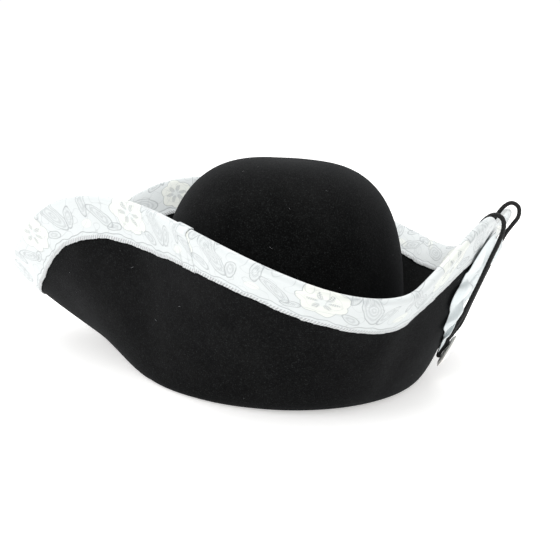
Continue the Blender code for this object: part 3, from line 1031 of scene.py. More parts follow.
@dataclass(frozen=True)
class MetalFinish:
    """Soft silver plate, lightly scratched, with cloudy tarnish."""

    plate: Triple = (0.96, 0.95, 0.91)
    tarnish: Triple = (0.50, 0.48, 0.44)
    metallic: float = 0.25

    def material(self, effects: SharedEffects) -> bpy.types.Material:
        """The plate's material."""
        s, material, shader = new_finish("silver_plate")
        place = s.object_place()
        x, y, z = s.split(place)
        drawn_out = s.join(x * 300.0, y * 5200.0 + z * 900.0, z * 2600.0)
        scratches = s.noise(drawn_out, 1.0, 3.0).above(0.63, 0.08)
        cloud = s.noise(place, 420.0, 3.0)
        soil = s.group(effects.soiling, Place=place, Shade=rgba(self.plate), Amount=0.22).outputs
        colour = s.blend(cloud.above(0.58, 0.3) * 0.45, soil["Colour"], self.tarnish)
        s.feed(shader.inputs["Base Color"], colour)
        s.feed(shader.inputs["Roughness"], cloud * 0.22 + scratches * 0.2 + 0.30)
        set_values(shader, {"Metallic": self.metallic})
        set_bump(s, shader, cloud * 0.5 - scratches * 0.6, 0.00005, 0.6)
        return material


@dataclass(frozen=True)
class GrosgrainFinish:
    """Black ribbed ribbon, painted darker in the valleys between its ribs."""

    uv: str = "band"
    # low: painted shade in the valleys between the ribs; high: the ribs' own black.
    low: Triple = (0.005, 0.005, 0.0055)
    high: Triple = (0.024, 0.024, 0.026)

    def material(self, effects: SharedEffects) -> bpy.types.Material:
        """The ribbed ribbon's material."""
        s, material, shader = new_finish("black_grosgrain")
        place = s.uv_place(self.uv)
        weave = s.group(effects.weave, Place=place, Warp=900.0, Weft=3200.0, Looseness=1.0).outputs
        soil = s.noise(s.object_place(), 90.0, 3.0)
        # Painted shade where the weave is low, mixed with an uneven soiled tone.
        share = Term(s, weave["Height"]) * 0.5 + soil * 0.35
        s.feed(shader.inputs["Base Color"], s.blend(share.at_most(1.0), self.low, self.high))
        s.feed(shader.inputs["Roughness"], soil * 0.2 + 0.55)
        set_values(shader, {"Specular IOR Level": 0.30})
        set_bump(s, shader, weave["Height"], 0.00012, 0.8)
        return material


@dataclass(frozen=True)
class BuckramFinish:
    """Stiffened open-weave cloth, with painted shade in the holes between its threads."""

    thread: Triple = (0.74, 0.73, 0.69)
    # hole_shade: painted shade in the weave's open holes.
    hole_shade: Triple = (0.30, 0.29, 0.27)

    def material(self, effects: SharedEffects) -> bpy.types.Material:
        """The buckram's material."""
        s, material, shader = new_finish("white_buckram")
        x, y, z = s.split(s.object_place())
        place = s.join(y, z + x * 0.3)
        weave = s.group(effects.weave, Place=place, Warp=620.0, Weft=620.0, Looseness=0.9).outputs
        # Painted shade: the holes between the threads are coloured grey.
        colour = s.blend(weave["Gap"], self.thread, self.hole_shade)
        soil = s.group(effects.soiling, Place=s.object_place(), Shade=colour, Amount=0.12).outputs
        s.feed(shader.inputs["Base Color"], soil["Colour"])
        s.feed(shader.inputs["Roughness"], Term(s, soil["Mark"]) * 0.3 + 0.8)
        set_bump(s, shader, weave["Height"], 0.00025)
        return material


@dataclass(frozen=True)
class ThreadFinish:
    """Twisted sewing thread of one colour, painted darker in the grooves of its twist."""

    name: str
    # light is the thread's own colour; dark serves both as painted shade between the plies and as its
    # darker fibres.
    light: Triple
    dark: Triple

    def material(self, effects: SharedEffects) -> bpy.types.Material:
        """The thread's material."""
        s, material, shader = new_finish(self.name)
        place = s.object_place()
        x, y, z = s.split(place)
        twist = (x * 1000.0 + y * 820.0 + z * 910.0).sine(0.42)
        fibres = s.group(effects.fibres, Place=place, Fineness=6000.0).outputs
        # Painted shade along the twist's grooves, mixed with the fibres' own uneven tone.
        share = twist * 0.35 + Term(s, fibres["Grain"]) * 0.5 + 0.2
        base = s.blend(share.at_least(0.0).at_most(1.0), self.dark, self.light)
        s.feed(shader.inputs["Base Color"], base)
        s.feed(shader.inputs["Roughness"], Term(s, fibres["Grain"]) * 0.3 + 0.5)
        set_values(shader, {"Specular IOR Level": 0.30})
        set_bump(s, shader, twist, 0.00004)
        return material


@dataclass(frozen=True)
class TableFinish:
    """Plain pale table top, lit from below."""

    shade: Triple = (0.93, 0.93, 0.93)
    glow: Triple = (1.0, 0.99, 0.975)
    glow_strength: float = 0.46

    def material(self) -> bpy.types.Material:
        """The table's material."""
        s, material, shader = new_finish("pale_table")
        tone = s.noise(s.object_place(), 3.0)
        s.feed(shader.inputs["Base Color"], s.blend(tone, self.shade, tuple(0.985 * c for c in self.shade)))
        s.feed(shader.inputs["Roughness"], tone * 0.1 + 0.75)
        set_values(shader, {
            "Specular IOR Level": 0.1,
            "Emission Color": (*self.glow, 1.0),
            "Emission Strength": self.glow_strength,
        })
        return material


# ---------------------------------------------------------------- felt


@dataclass
class FeltBody:
    """Crown and brim blocked from one piece of felt, with its loose fibres and a little lint."""

    shape: HatShape
    finish: FeltFinish = field(default_factory=FeltFinish)
    columns: int = 320
    crown_rows: int = 58
    fillet_rows: int = 6
    ring_rows: int = 4
    brim_rows: int = 60
    crown_relief: float = 0.00015
    fibre_count: int = 13000
    fibre_length: float = 0.0009
    lint_count: int = 130
    lint_length: float = 0.0019
    lint_radius: float = 0.00004
    lint_bend: float = 0.0004
    lint_lift: float = 0.00006
    bare_rim: float = 0.027
    bare_foot: float = 0.006
    bare_spot: Triple = (0.1100, 0.0, 0.0270)
    bare_radius: float = 0.010
    seed: int = 11

    def crown_grid(self, angle: np.ndarray) -> np.ndarray:
        """Mid-felt rows from just under the pole to the foot of the crown's wall."""
        shape = self.shape
        n = shape.crown_squareness
        foot = math.atan2(shape.ring_z + shape.break_radius, shape.crown_height)
        slant = math.pi / 2 + (foot - math.pi / 2) * np.arange(1, self.crown_rows + 1) / self.crown_rows
        reach = (np.cos(slant) ** n + np.sin(slant) ** n) ** (-1 / n)
        radius = shape.crown_base(angle)[None] * (reach * np.cos(slant))[:, None]
        height = (shape.crown_height * reach * np.sin(slant))[:, None] + 0 * radius
        return shape.polar(angle[None] + 0 * radius, radius, height)

    def foot_grid(self, angle: np.ndarray) -> np.ndarray:
        """Mid-felt rows round the break and over the flat ring."""
        shape = self.shape
        base = shape.crown_base(angle)[None]
        bend = np.radians(180 + 90 * np.arange(1, self.fillet_rows + 1) / self.fillet_rows)[:, None]
        radius = base + shape.break_radius * (1 + np.cos(bend))
        height = shape.ring_z + shape.break_radius * (1 + np.sin(bend)) + 0 * base
        ring = np.arange(1, self.ring_rows)[:, None] / self.ring_rows
        ring_radius = base + shape.break_radius + shape.ring_width * ring
        radius = np.concatenate([radius, ring_radius])
        height = np.concatenate([height, shape.ring_z + 0 * ring_radius])
        return shape.polar(angle[None] + 0 * radius, radius, height)

    def brim_grid(self, angle: np.ndarray) -> np.ndarray:
        """Mid-felt rows up the turned brim to its edge."""
        width = self.shape.brim_width(angle)
        share = 1 - np.arange(self.brim_rows) / (self.brim_rows - 1)
        from_edge = share[:, None] * width[None]
        turned = np.broadcast_to(angle, from_edge.shape)
        places = self.shape.brim(turned.ravel(), from_edge.ravel())
        return places.at.reshape(*from_edge.shape, 3)

    def build(self, effects: SharedEffects) -> bpy.types.Object:
        """Build the felt, its fibres and its lint."""
        angle = np.linspace(math.pi, -math.pi, self.columns, endpoint=False)
        middle = np.concatenate([self.crown_grid(angle), self.foot_grid(angle), self.brim_grid(angle)])
        down = np.gradient(middle, axis=0)
        round_it = np.roll(middle, -1, 1) - np.roll(middle, 1, 1)
        top_side = unit(np.cross(round_it, down))
        rows = np.arange(len(middle))[:, None]
        broad = np.sin(2 * angle + 1.0) * np.sin(0.05 * rows + 0.6)
        uneven = broad + 0.5 * np.sin(5 * angle) * np.sin(0.11 * rows)
        in_crown = 1 - smoothstep(0.55 * self.crown_rows, 0.95 * self.crown_rows, rows)
        middle = middle + top_side * (self.crown_relief * uneven * in_crown)[..., None]
        half = self.shape.felt_thick / 2
        top = middle + top_side * half
        under = middle - top_side * half
        felt = self.closed_felt(top, under)
        piece = new_piece("blocked_felt", felt, self.finish.material(effects), Body.HAT)
        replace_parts(piece, "felt_body")
        self.add_fibres(top, top_side, under)
        return piece

    def closed_felt(self, top: np.ndarray, under: np.ndarray) -> bpy.types.Mesh:
        """Felt's closed mesh, with a pole at the middle of the crown on each side."""
        rows, columns = top.shape[:2]
        count = rows * columns
        head = self.shape.head
        half = self.shape.felt_thick / 2
        poles = [(head.x, head.y, self.shape.crown_height + side * half) for side in (1, -1)]
        points = np.concatenate([top.reshape(-1, 3), under.reshape(-1, 3), np.array(poles)])
        faces = grid_faces(rows, columns, True) + grid_faces(rows, columns, True, count, True)
        last = (rows - 1) * columns
        for column in range(columns):
            right = (column + 1) % columns
            faces.append((last + column, last + right, count + last + right, count + last + column))
            faces.append((2 * count, right, column))
            faces.append((2 * count + 1, count + column, count + right))
        mesh = mesh_from("blocked_felt", points, faces)
        face_outwards(mesh)
        return mesh

    def pick_places(
        self, top: np.ndarray, out: np.ndarray, under: np.ndarray, count: int, rng: np.random.Generator
    ) -> tuple[np.ndarray, np.ndarray]:
        """Random places on the felt that shows, with their outward directions.

        Args:
            top: the felt's top side.
            out: directions out of the top side.
            under: the felt's underside.
            count: how many places.
            rng: the seeded source of chance.

        Returns:
            Places and directions.
        """
        rows, columns = top.shape[:2]
        area = np.linalg.norm(
            np.cross(top[1:] - top[:-1], np.roll(top, -1, 1)[:-1] - top[:-1]), axis=-1
        )
        rim = np.linalg.norm(top[-1][None] - top[:-1], axis=-1) < self.bare_rim
        area[rim] = 0
        area[top[:-1, :, 2] < self.bare_foot] = 0
        spot = np.array(self.bare_spot) + (self.shape.head.x, self.shape.head.y, 0)
        area[np.linalg.norm(top[:-1] - spot, axis=-1) < self.bare_radius] = 0
        both = np.stack([area, area])
        both[1, : self.crown_rows + self.fillet_rows] = 0
        pick = rng.choice(both.size, count, p=(both / both.sum()).ravel())
        side, row, column = np.unravel_index(pick, both.shape)
        grids = np.stack([top, under])
        along = rng.random((count, 1))
        across = rng.random((count, 1))
        right = (column + 1) % columns
        low = grids[side, row, column] * (1 - across) + grids[side, row, right] * across
        high = grids[side, row + 1, column] * (1 - across) + grids[side, row + 1, right] * across
        return low * (1 - along) + high * along, out[row, column] * np.where(side == 0, 1.0, -1.0)[:, None]

    def add_fibres(self, top: np.ndarray, out: np.ndarray, under: np.ndarray) -> None:
        """Short fibres that stand out of the nap, and pale lint lying on it."""
        rng = np.random.default_rng(self.seed)
        at, normal = self.pick_places(top, out, under, self.fibre_count, rng)
        lean = unit(normal + 0.9 * rng.normal(size=at.shape))
        lean = np.where(np.sum(lean * normal, 1, keepdims=True) < 0.15, unit(lean + normal), lean)
        size = self.fibre_length * rng.uniform(0.45, 1.5, self.fibre_count)
        mesh = scatter("loose_fibres", self.fibre_shape(), at, rng.normal(size=at.shape), lean, size)
        new_piece("loose_fibres", mesh, self.finish.fibre_material(), Body.HAT)
        at, normal = self.pick_places(top, out, under, self.lint_count, rng)
        size = rng.uniform(0.35, 1.2, self.lint_count)
        points, faces = capsule_points(self.lint_length, self.lint_radius, 4)
        points[:, 1] += self.lint_bend * np.sin(points[:, 0] * 1900)
        lengthwise = rng.normal(size=at.shape)
        mesh = scatter("lint", (points, faces), at + normal * self.lint_lift, lengthwise, normal, size)
        new_piece("lint", mesh, self.finish.lint_material(), Body.HAT)

    def fibre_shape(self) -> tuple[np.ndarray, Faces]:
        """Bent spike of unit length along Z, with three sides."""
        points = []
        for height, thick, bend in ((-0.1, 0.024, 0.0), (0.55, 0.018, 0.10)):
            for i in range(3):
                turn = FULL_TURN * i / 3
                points.append((bend + thick * math.cos(turn), thick * math.sin(turn), height))
        points.append((0.42, 0.0, 1.0))
        faces = [(2, 1, 0)] + grid_faces(2, 3, True) + [(3, 4, 6), (4, 5, 6), (5, 3, 6)]
        return np.array(points), faces


# ---------------------------------------------------------------- binding


@dataclass
class BrimTrim:
    """Brocade ribbon folded over the brim's edge all the way round, joined with a lapped end."""

    shape: HatShape
    finish: BrocadeFinish = field(default_factory=BrocadeFinish)
    width: float = 0.026
    thick: float = 0.0006
    fold_radius: float = 0.00225
    close_off: float = 0.00195
    join_angle: float = math.radians(-100)
    lap: float = 0.012
    lap_lift: float = 0.0003
    pucker_rise: float = 0.00055
    selvedge_rise: float = 0.00022
    ragged: float = 0.00034
    crease_angle: float = math.radians(62)
    crease_rise: float = 0.0012
    columns: int = 900
    stitch_pitch: float = 0.0030
    stitch_length: float = 0.0019
    stitch_radius: float = 0.00017
    stitch_inset: float = 0.0014
    stitch_lift: float = 0.00032
    seed: int = 7

    @property
    def half(self) -> float:
        """Half of the ribbon's whole width, from the fold's top to the selvedge."""
        return self.width + self.fold_radius * math.pi / 2

    def section(self) -> np.ndarray:
        """Places across the ribbon, closer together at the selvedges and round the fold."""
        turn = self.fold_radius * math.pi / 2
        hem = self.half - np.array([0.0, 0.4, 0.9, 1.5, 2.2, 3.0]) * MM
        face = np.linspace(self.half - 4.2 * MM, turn, 13)
        fold = np.linspace(turn, 0, 6)[1:]
        one_side = np.concatenate([hem, face, fold])
        return np.concatenate([-one_side, one_side[::-1][1:]])

    def chance_wave(self, distance: np.ndarray, lengths: Sequence[float], seed: int) -> np.ndarray:
        """Sum of sine waves with seeded starts, about from -1 to 1."""
        rng = random.Random(seed)
        waves = [np.sin(distance * FULL_TURN / length + rng.uniform(0, FULL_TURN)) for length in lengths]
        return sum(waves) / len(lengths)

    def places(
        self, distance: np.ndarray, across: np.ndarray, off: float = 0.0
    ) -> tuple[np.ndarray, np.ndarray]:
        """Points and outward directions of the ribbon's middle.

        Args:
            distance: places along the ribbon from its start.
            across: places across it from the fold, positive on the brim's outer face.
            off: extra height over the ribbon.

        Returns:
            Points and directions, one for each pair.
        """
        shape = self.shape
        angle = shape.edge_angles(self.join_angle, distance)
        turn = self.fold_radius * math.pi / 2
        size = np.abs(across)
        side = np.where(across >= 0, 1.0, -1.0)
        to_hem = smoothstep(self.half - 0.007, self.half, size)
        jitter = self.chance_wave(distance, (0.0042, 0.0063, 0.0093, 0.0034), self.seed)
        stray = self.chance_wave(distance, (0.041, 0.067, 0.023), self.seed + 1)
        sideways = to_hem * (self.ragged * jitter + 0.0006 * stray)
        from_edge = np.maximum(size - turn + sideways, 0)
        places = shape.brim(angle, from_edge)
        edge = shape.brim(angle, np.full_like(from_edge, shape.slope_step))
        out = side[:, None] * places.out
        stand = self.fold_radius + (self.close_off - self.fold_radius) * smoothstep(turn, self.half, size)
        pucker = np.maximum(self.chance_wave(distance, (0.013, 0.019, 0.0087), self.seed + 2), 0) ** 1.3
        bowed = smoothstep(turn + 0.004, self.half, size)
        sided = 0.5 + 0.5 * side * self.chance_wave(distance, (0.09,), 3)
        stand += self.pucker_rise * pucker * bowed * sided
        stand += self.selvedge_rise * bump_at(size, self.half - 0.0016, 0.0013)
        lapped = smoothstep(shape.edge_length() - 0.0012, shape.edge_length() + 0.0004, distance)
        stand += self.lap_lift * lapped + off
        crease = bump_at((angle - self.crease_angle + math.pi) % FULL_TURN - math.pi, 0, 0.011)
        stand += self.crease_rise * crease * (across < 0) * smoothstep(0.002, 0.012, size)
        flat = places.at + out * stand[:, None]
        bend = np.clip(across / self.fold_radius, -math.pi / 2, math.pi / 2)
        radius = self.fold_radius + self.lap_lift * 3.0 * lapped + off
        fold_out = edge.up * np.cos(bend)[:, None] + edge.out * np.sin(bend)[:, None]
        rim = 0 * distance
        folded = shape.brim_point(angle, rim) + edge.out * shape.relief(angle, rim)[:, None]
        folded = folded + fold_out * radius[:, None]
        on_fold = (size < turn)[:, None]
        return np.where(on_fold, folded, flat), np.where(on_fold, fold_out, out)

    def build(self, effects: SharedEffects) -> bpy.types.Object:
        """Build the ribbon and the stitches along its selvedges."""
        length = self.shape.edge_length() + self.lap
        along = np.linspace(0, length, self.columns)
        across = self.section()
        u, v = np.meshgrid(along, across)
        at, out = self.places(u.ravel(), v.ravel())
        at = at.reshape(*u.shape, 3)
        out = out.reshape(*u.shape, 3)
        middle_rows = np.gradient(at, axis=0)
        middle_columns = np.gradient(at, axis=1)
        normal = unit(np.cross(middle_columns, middle_rows))
        normal *= np.sign(np.sum(normal * out, -1, keepdims=True))
        half = normal * self.thick / 2
        mesh = slab_mesh("brocade_binding", at + half, at - half, False)
        add_uv(mesh, self.finish.uv, np.stack([u, u]), np.stack([v, v]))
        face_outwards(mesh)
        piece = new_piece("brocade_binding", mesh, self.finish.material(effects), Body.HAT)
        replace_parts(piece, "brim_trim")
        stitches = self.add_stitches(effects)
        return piece

    def add_stitches(self, effects: SharedEffects) -> bpy.types.Object:
        """Slanted stitches that hold both selvedges to the felt."""
        steps = int(self.shape.edge_length() / self.stitch_pitch)
        along = np.tile(np.arange(steps) * self.stitch_pitch, 2)
        across = np.repeat([-1.0, 1.0], steps) * (self.half - self.stitch_inset)
        at, out = self.places(along, across, self.stitch_lift)
        ahead, _ = self.places(along + 0.0008, across + np.sign(across) * 0.0007, self.stitch_lift)
        stitch = capsule_points(self.stitch_length, self.stitch_radius)
        mesh = scatter("binding_stitches", stitch, at, ahead - at, out)
        thread = ThreadFinish("silver_thread", (0.70, 0.70, 0.72), (0.38, 0.38, 0.41))
        return new_piece("binding_stitches", mesh, thread.material(effects), Body.HAT)


# ---------------------------------------------------------------- sweatband


@dataclass
class Sweatband:
    """Ribbed ribbon sewn inside the crown, lapped at the back."""

    shape: HatShape
    finish: GrosgrainFinish = field(default_factory=GrosgrainFinish)
    bottom: float = 0.0068
    top: float = 0.036
    thick: float = 0.0008
    gap: float = 0.0005
    ribs: int = 440
    steps_per_rib: int = 3
    rows: int = 9
    rib_rise: float = 0.00013
    seam_angle: float = math.radians(90)
    seam_width: float = 0.009
    seam_rise: float = 0.0006
    stitch_pitch: float = 0.0042
    stitch_length: float = 0.0026
    stitch_radius: float = 0.0002
    stitch_height: float = 0.0022

    def radius(self, angle: np.ndarray, height: np.ndarray) -> np.ndarray:
        """Radius of the band's outer face at angles and heights."""
        middle = self.shape.crown_base(angle) * self.shape.crown_share(height)
        return middle - self.shape.felt_thick / 2 - self.gap

    def build(self, effects: SharedEffects) -> bpy.types.Object:
        """Build the band and its stitches."""
        count = self.ribs * self.steps_per_rib
        angle = np.linspace(0, FULL_TURN, count, endpoint=False)
        height = np.linspace(self.bottom, self.top, self.rows)
        turn, level = np.meshgrid(angle, height)
        outer = self.radius(turn.ravel(), level.ravel()).reshape(turn.shape)
        rib = self.rib_rise * (0.5 + 0.5 * np.cos(self.ribs * turn))
        edge = smoothstep(0, 0.0012, np.minimum(level - self.bottom, self.top - level))
        half_seam = self.seam_width / 2 / self.shape.crown_half_length
        lapped = 1 - smoothstep(half_seam * 0.93, half_seam, np.abs(turn - self.seam_angle))
        inner = outer - self.thick * (0.75 + 0.25 * edge) - rib * edge - self.seam_rise * lapped
        inside = self.shape.polar(turn, inner, level)
        outside = self.shape.polar(turn, outer, level)
        mesh = slab_mesh("grosgrain_sweatband", inside, outside, True)
        around = np.stack([turn, turn]) * self.shape.crown_half_width
        add_uv(mesh, self.finish.uv, around, np.stack([level, level]))
        face_outwards(mesh)
        material = self.finish.material(effects)
        piece = new_piece("grosgrain_sweatband", mesh, material, Body.HAT)
        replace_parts(piece, "sweatband")
        stitches = self.add_stitches(effects)
        return piece

    def add_stitches(self, effects: SharedEffects) -> bpy.types.Object:
        """Running stitches along the band's lower edge."""
        around = math.pi * (self.shape.crown_half_width + self.shape.crown_half_length)
        angle = np.linspace(0, FULL_TURN, int(around / self.stitch_pitch), endpoint=False)
        level = np.full_like(angle, self.bottom + self.stitch_height)
        inside = self.radius(angle, level) - self.thick - self.rib_rise - 0.00010
        at = self.shape.polar(angle, inside, level)
        ahead = self.shape.polar(angle + 0.01, self.radius(angle + 0.01, level) - self.thick, level)
        inward = np.stack([-np.cos(angle), -np.sin(angle), 0 * angle], 1)
        stitch = capsule_points(self.stitch_length, self.stitch_radius)
        mesh = scatter("sweatband_stitches", stitch, at, ahead - at, inward)
        thread = ThreadFinish("black_thread", (0.045, 0.045, 0.048), (0.008, 0.008, 0.009))
        return new_piece("sweatband_stitches", mesh, thread.material(effects), Body.HAT)


# ---------------------------------------------------------------- cord


@dataclass
class LoopCord:
    """Braided cord from one knot over the brim, round the button's shank and back to the other knot."""

    shape: HatShape
    finish: CordFinish = field(default_factory=CordFinish)
    radius: float = 0.0015
    ring_step: float = 0.00036
    sides: int = 24
    strands: int = 4
    strand_length: float = 0.0027
    strand_rise: float = 0.00016
    knot_radius: float = 0.0032
    knot_half_depth: float = 0.0018
    touch_gap: float = 0.0003
    curve_parts: int = 12
    knot_steps: int = 120
    near_hole: Pair = (-14.0, 0.046)
    far_hole: Pair = (15.0, 0.044)
    route: tuple[Triple, ...] = (
        (0.1264, -0.0313, 0.0725), (0.1236, -0.0311, 0.0733), (0.1185, -0.0309, 0.0770),
        (0.1180, -0.0311, 0.0824), (0.1236, -0.0320, 0.0970), (0.1298, -0.0322, 0.1090),
        (0.1343, -0.0319, 0.1162), (0.1396, -0.0316, 0.1198), (0.1446, -0.0312, 0.1180),
        (0.1462, -0.0304, 0.1125), (0.1444, -0.0288, 0.1034), (0.1400, -0.0252, 0.0900),
        (0.1335, -0.0200, 0.0698), (0.1257, -0.0140, 0.0489), (0.1188, -0.0084, 0.0340),
        (0.1177, -0.0067, 0.0284), (0.1153, -0.0057, 0.0247), (0.1137, -0.0052, 0.0215),
        (0.1129, -0.0036, 0.0188), (0.1126, 0.0000, 0.0177), (0.1129, 0.0036, 0.0188),
        (0.1137, 0.0052, 0.0215), (0.1153, 0.0057, 0.0247), (0.1177, 0.0067, 0.0284),
        (0.1214, 0.0080, 0.0340), (0.1255, 0.0088, 0.0412), (0.1310, 0.0145, 0.0568),
        (0.1390, 0.0258, 0.0780), (0.1469, 0.0389, 0.0975), (0.1514, 0.0446, 0.1050),
        (0.1556, 0.0464, 0.1120), (0.1551, 0.0467, 0.1186), (0.1502, 0.0468, 0.1212),
        (0.1450, 0.0466, 0.1180), (0.1392, 0.0450, 0.1090), (0.1328, 0.0422, 0.0970),
        (0.1246, 0.0374, 0.0825), (0.1246, 0.0357, 0.0771), (0.1294, 0.0351, 0.0731),
        (0.1321, 0.0350, 0.0722),
    )

    def line(self, route: Sequence[Vector], step: float) -> list[Vector]:
        """Points at even steps along a smooth curve through the route's own points."""
        fine = []
        ends = [2 * route[0] - route[1], *route, 2 * route[-1] - route[-2]]
        for a, b, c, d in zip(ends, ends[1:], ends[2:], ends[3:]):
            for part in range(self.curve_parts):
                t = part / self.curve_parts
                bent = (2 * a - 5 * b + 4 * c - d) * t * t
                fine.append(0.5 * (2 * b + (c - a) * t + bent + (3 * b - a - 3 * c + d) * t**3))
        fine.append(route[-1])
        walked = np.concatenate([[0.0], np.cumsum([(q - p).length for p, q in zip(fine, fine[1:])])])
        stops = np.linspace(0, walked[-1], max(int(round(walked[-1] / step)), 2) + 1)
        axes = [np.interp(stops, walked, [p[axis] for p in fine]) for axis in range(3)]
        return [Vector(point) for point in zip(*axes)]

    def middle(self, step: float) -> list[Vector]:
        """The cord's middle in the frame, at even steps."""
        head = self.shape.head
        return self.line([Vector((x + head.x, y + head.y, z)) for x, y, z in self.route], step)

    def braid(self, name: str, line: list[Vector], radius: float, closed: bool = False) -> bpy.types.Mesh:
        """Braided tube round a line.

        Args:
            name: the mesh's name.
            line: the middle of each ring.
            radius: the tube's radius over its strands.
            closed: whether the line runs back into its start.

        Returns:
            The closed mesh, with its UV map and its strand heights.
        """
        points = np.array(line)
        if closed:
            along = unit(np.roll(points, -1, 0) - np.roll(points, 1, 0))
        else:
            along = unit(np.gradient(points, axis=0))
        across = unit(np.cross(along[0], (0.3, 0.1, 0.9)))
        frames = []
        for direction in along:
            across = unit(across - direction * np.dot(across, direction))
            frames.append((across, np.cross(direction, across)))
        frames = np.array(frames)
        step = np.linalg.norm(points[1] - points[0])
        walked = np.arange(len(points)) * step
        turn = np.linspace(0, FULL_TURN, self.sides, endpoint=False)
        lay = FULL_TURN * walked[:, None] / self.strand_length
        left = np.cos(self.strands * turn[None] + lay)
        right = np.cos(self.strands * turn[None] - lay)
        height = np.maximum(left, right) * 0.5 + 0.5
        reach = radius - self.strand_rise * (radius / self.radius) * (1 - height)
        rings = (
            points[:, None]
            + reach[..., None] * np.cos(turn)[None, :, None] * frames[:, 0][:, None]
            + reach[..., None] * np.sin(turn)[None, :, None] * frames[:, 1][:, None]
        )
        faces = grid_faces(len(points), self.sides, True)
        if closed:
            last = (len(points) - 1) * self.sides
            shift = int(round(self.seam_shift(frames, along) / FULL_TURN * self.sides))
            for i in range(self.sides):
                j = (i + 1) % self.sides
                faces.append((last + i, last + j, (j + shift) % self.sides, (i + shift) % self.sides))
        else:
            faces.append(tuple(range(self.sides))[::-1])
            faces.append(tuple(range((len(points) - 1) * self.sides, len(points) * self.sides)))
        mesh = mesh_from(name, rings, faces)
        face_outwards(mesh)
        around = turn[None] / FULL_TURN * 0.0094 + 0 * height
        add_uv(mesh, self.finish.uv, walked[:, None] + 0 * height, around)
        strand = mesh.attributes.new("strand_height", "FLOAT", "POINT")
        strand.data.foreach_set("value", height.astype(np.float32).ravel())
        return mesh

    def seam_shift(self, frames: np.ndarray, along: np.ndarray) -> float:
        """Turn between the last ring's frame and the first's, on a closed line."""
        x, y = frames[0]
        last = frames[-1][0] - along[0] * np.dot(frames[-1][0], along[0])
        return math.atan2(float(np.dot(last, y)), float(np.dot(last, x)))

    def knot(self, name: str, hole: Pair, material: bpy.types.Material) -> bpy.types.Object:
        """Overhand knot drawn flat against the felt behind the cockade."""
        tube = 0.62 * self.radius
        wide = (self.knot_radius - tube) / 3
        deep = self.knot_half_depth - tube
        place = self.shape.brim(np.radians([hole[0]]), np.array([hole[1]]))
        lift = self.shape.felt_thick / 2 + self.touch_gap + self.knot_half_depth
        centre = Vector(place.at[0] + place.out[0] * lift)
        side, up, out = Vector(place.side[0]), Vector(place.up[0]), Vector(place.out[0])
        line = []
        for i in range(self.knot_steps):
            t = FULL_TURN * i / self.knot_steps
            x = wide * (math.sin(t) + 2 * math.sin(2 * t))
            y = wide * (math.cos(t) - 2 * math.cos(2 * t))
            line.append(centre + side * x + up * y + out * (-deep * math.sin(3 * t)))
        mesh = self.braid(name, line, tube, closed=True)
        return new_piece(name, mesh, material, Body.HAT)

    def build(self, effects: SharedEffects) -> bpy.types.Object:
        """Build the cord and its two knots."""
        material = self.finish.material(effects)
        line = self.middle(self.ring_step)
        mesh = self.braid("braided_loop_cord", line, self.radius)
        piece = new_piece("braided_loop_cord", mesh, material, Body.HAT)
        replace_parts(piece, "loop_cord")
        near = self.knot("overhand_knot_near", self.near_hole, material)
        far = self.knot("overhand_knot_far", self.far_hole, material)
        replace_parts(near, "cord_knot_near")
        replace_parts(far, "cord_knot_far")
        2 * self.radius
        return piece


# ---------------------------------------------------------------- cockade


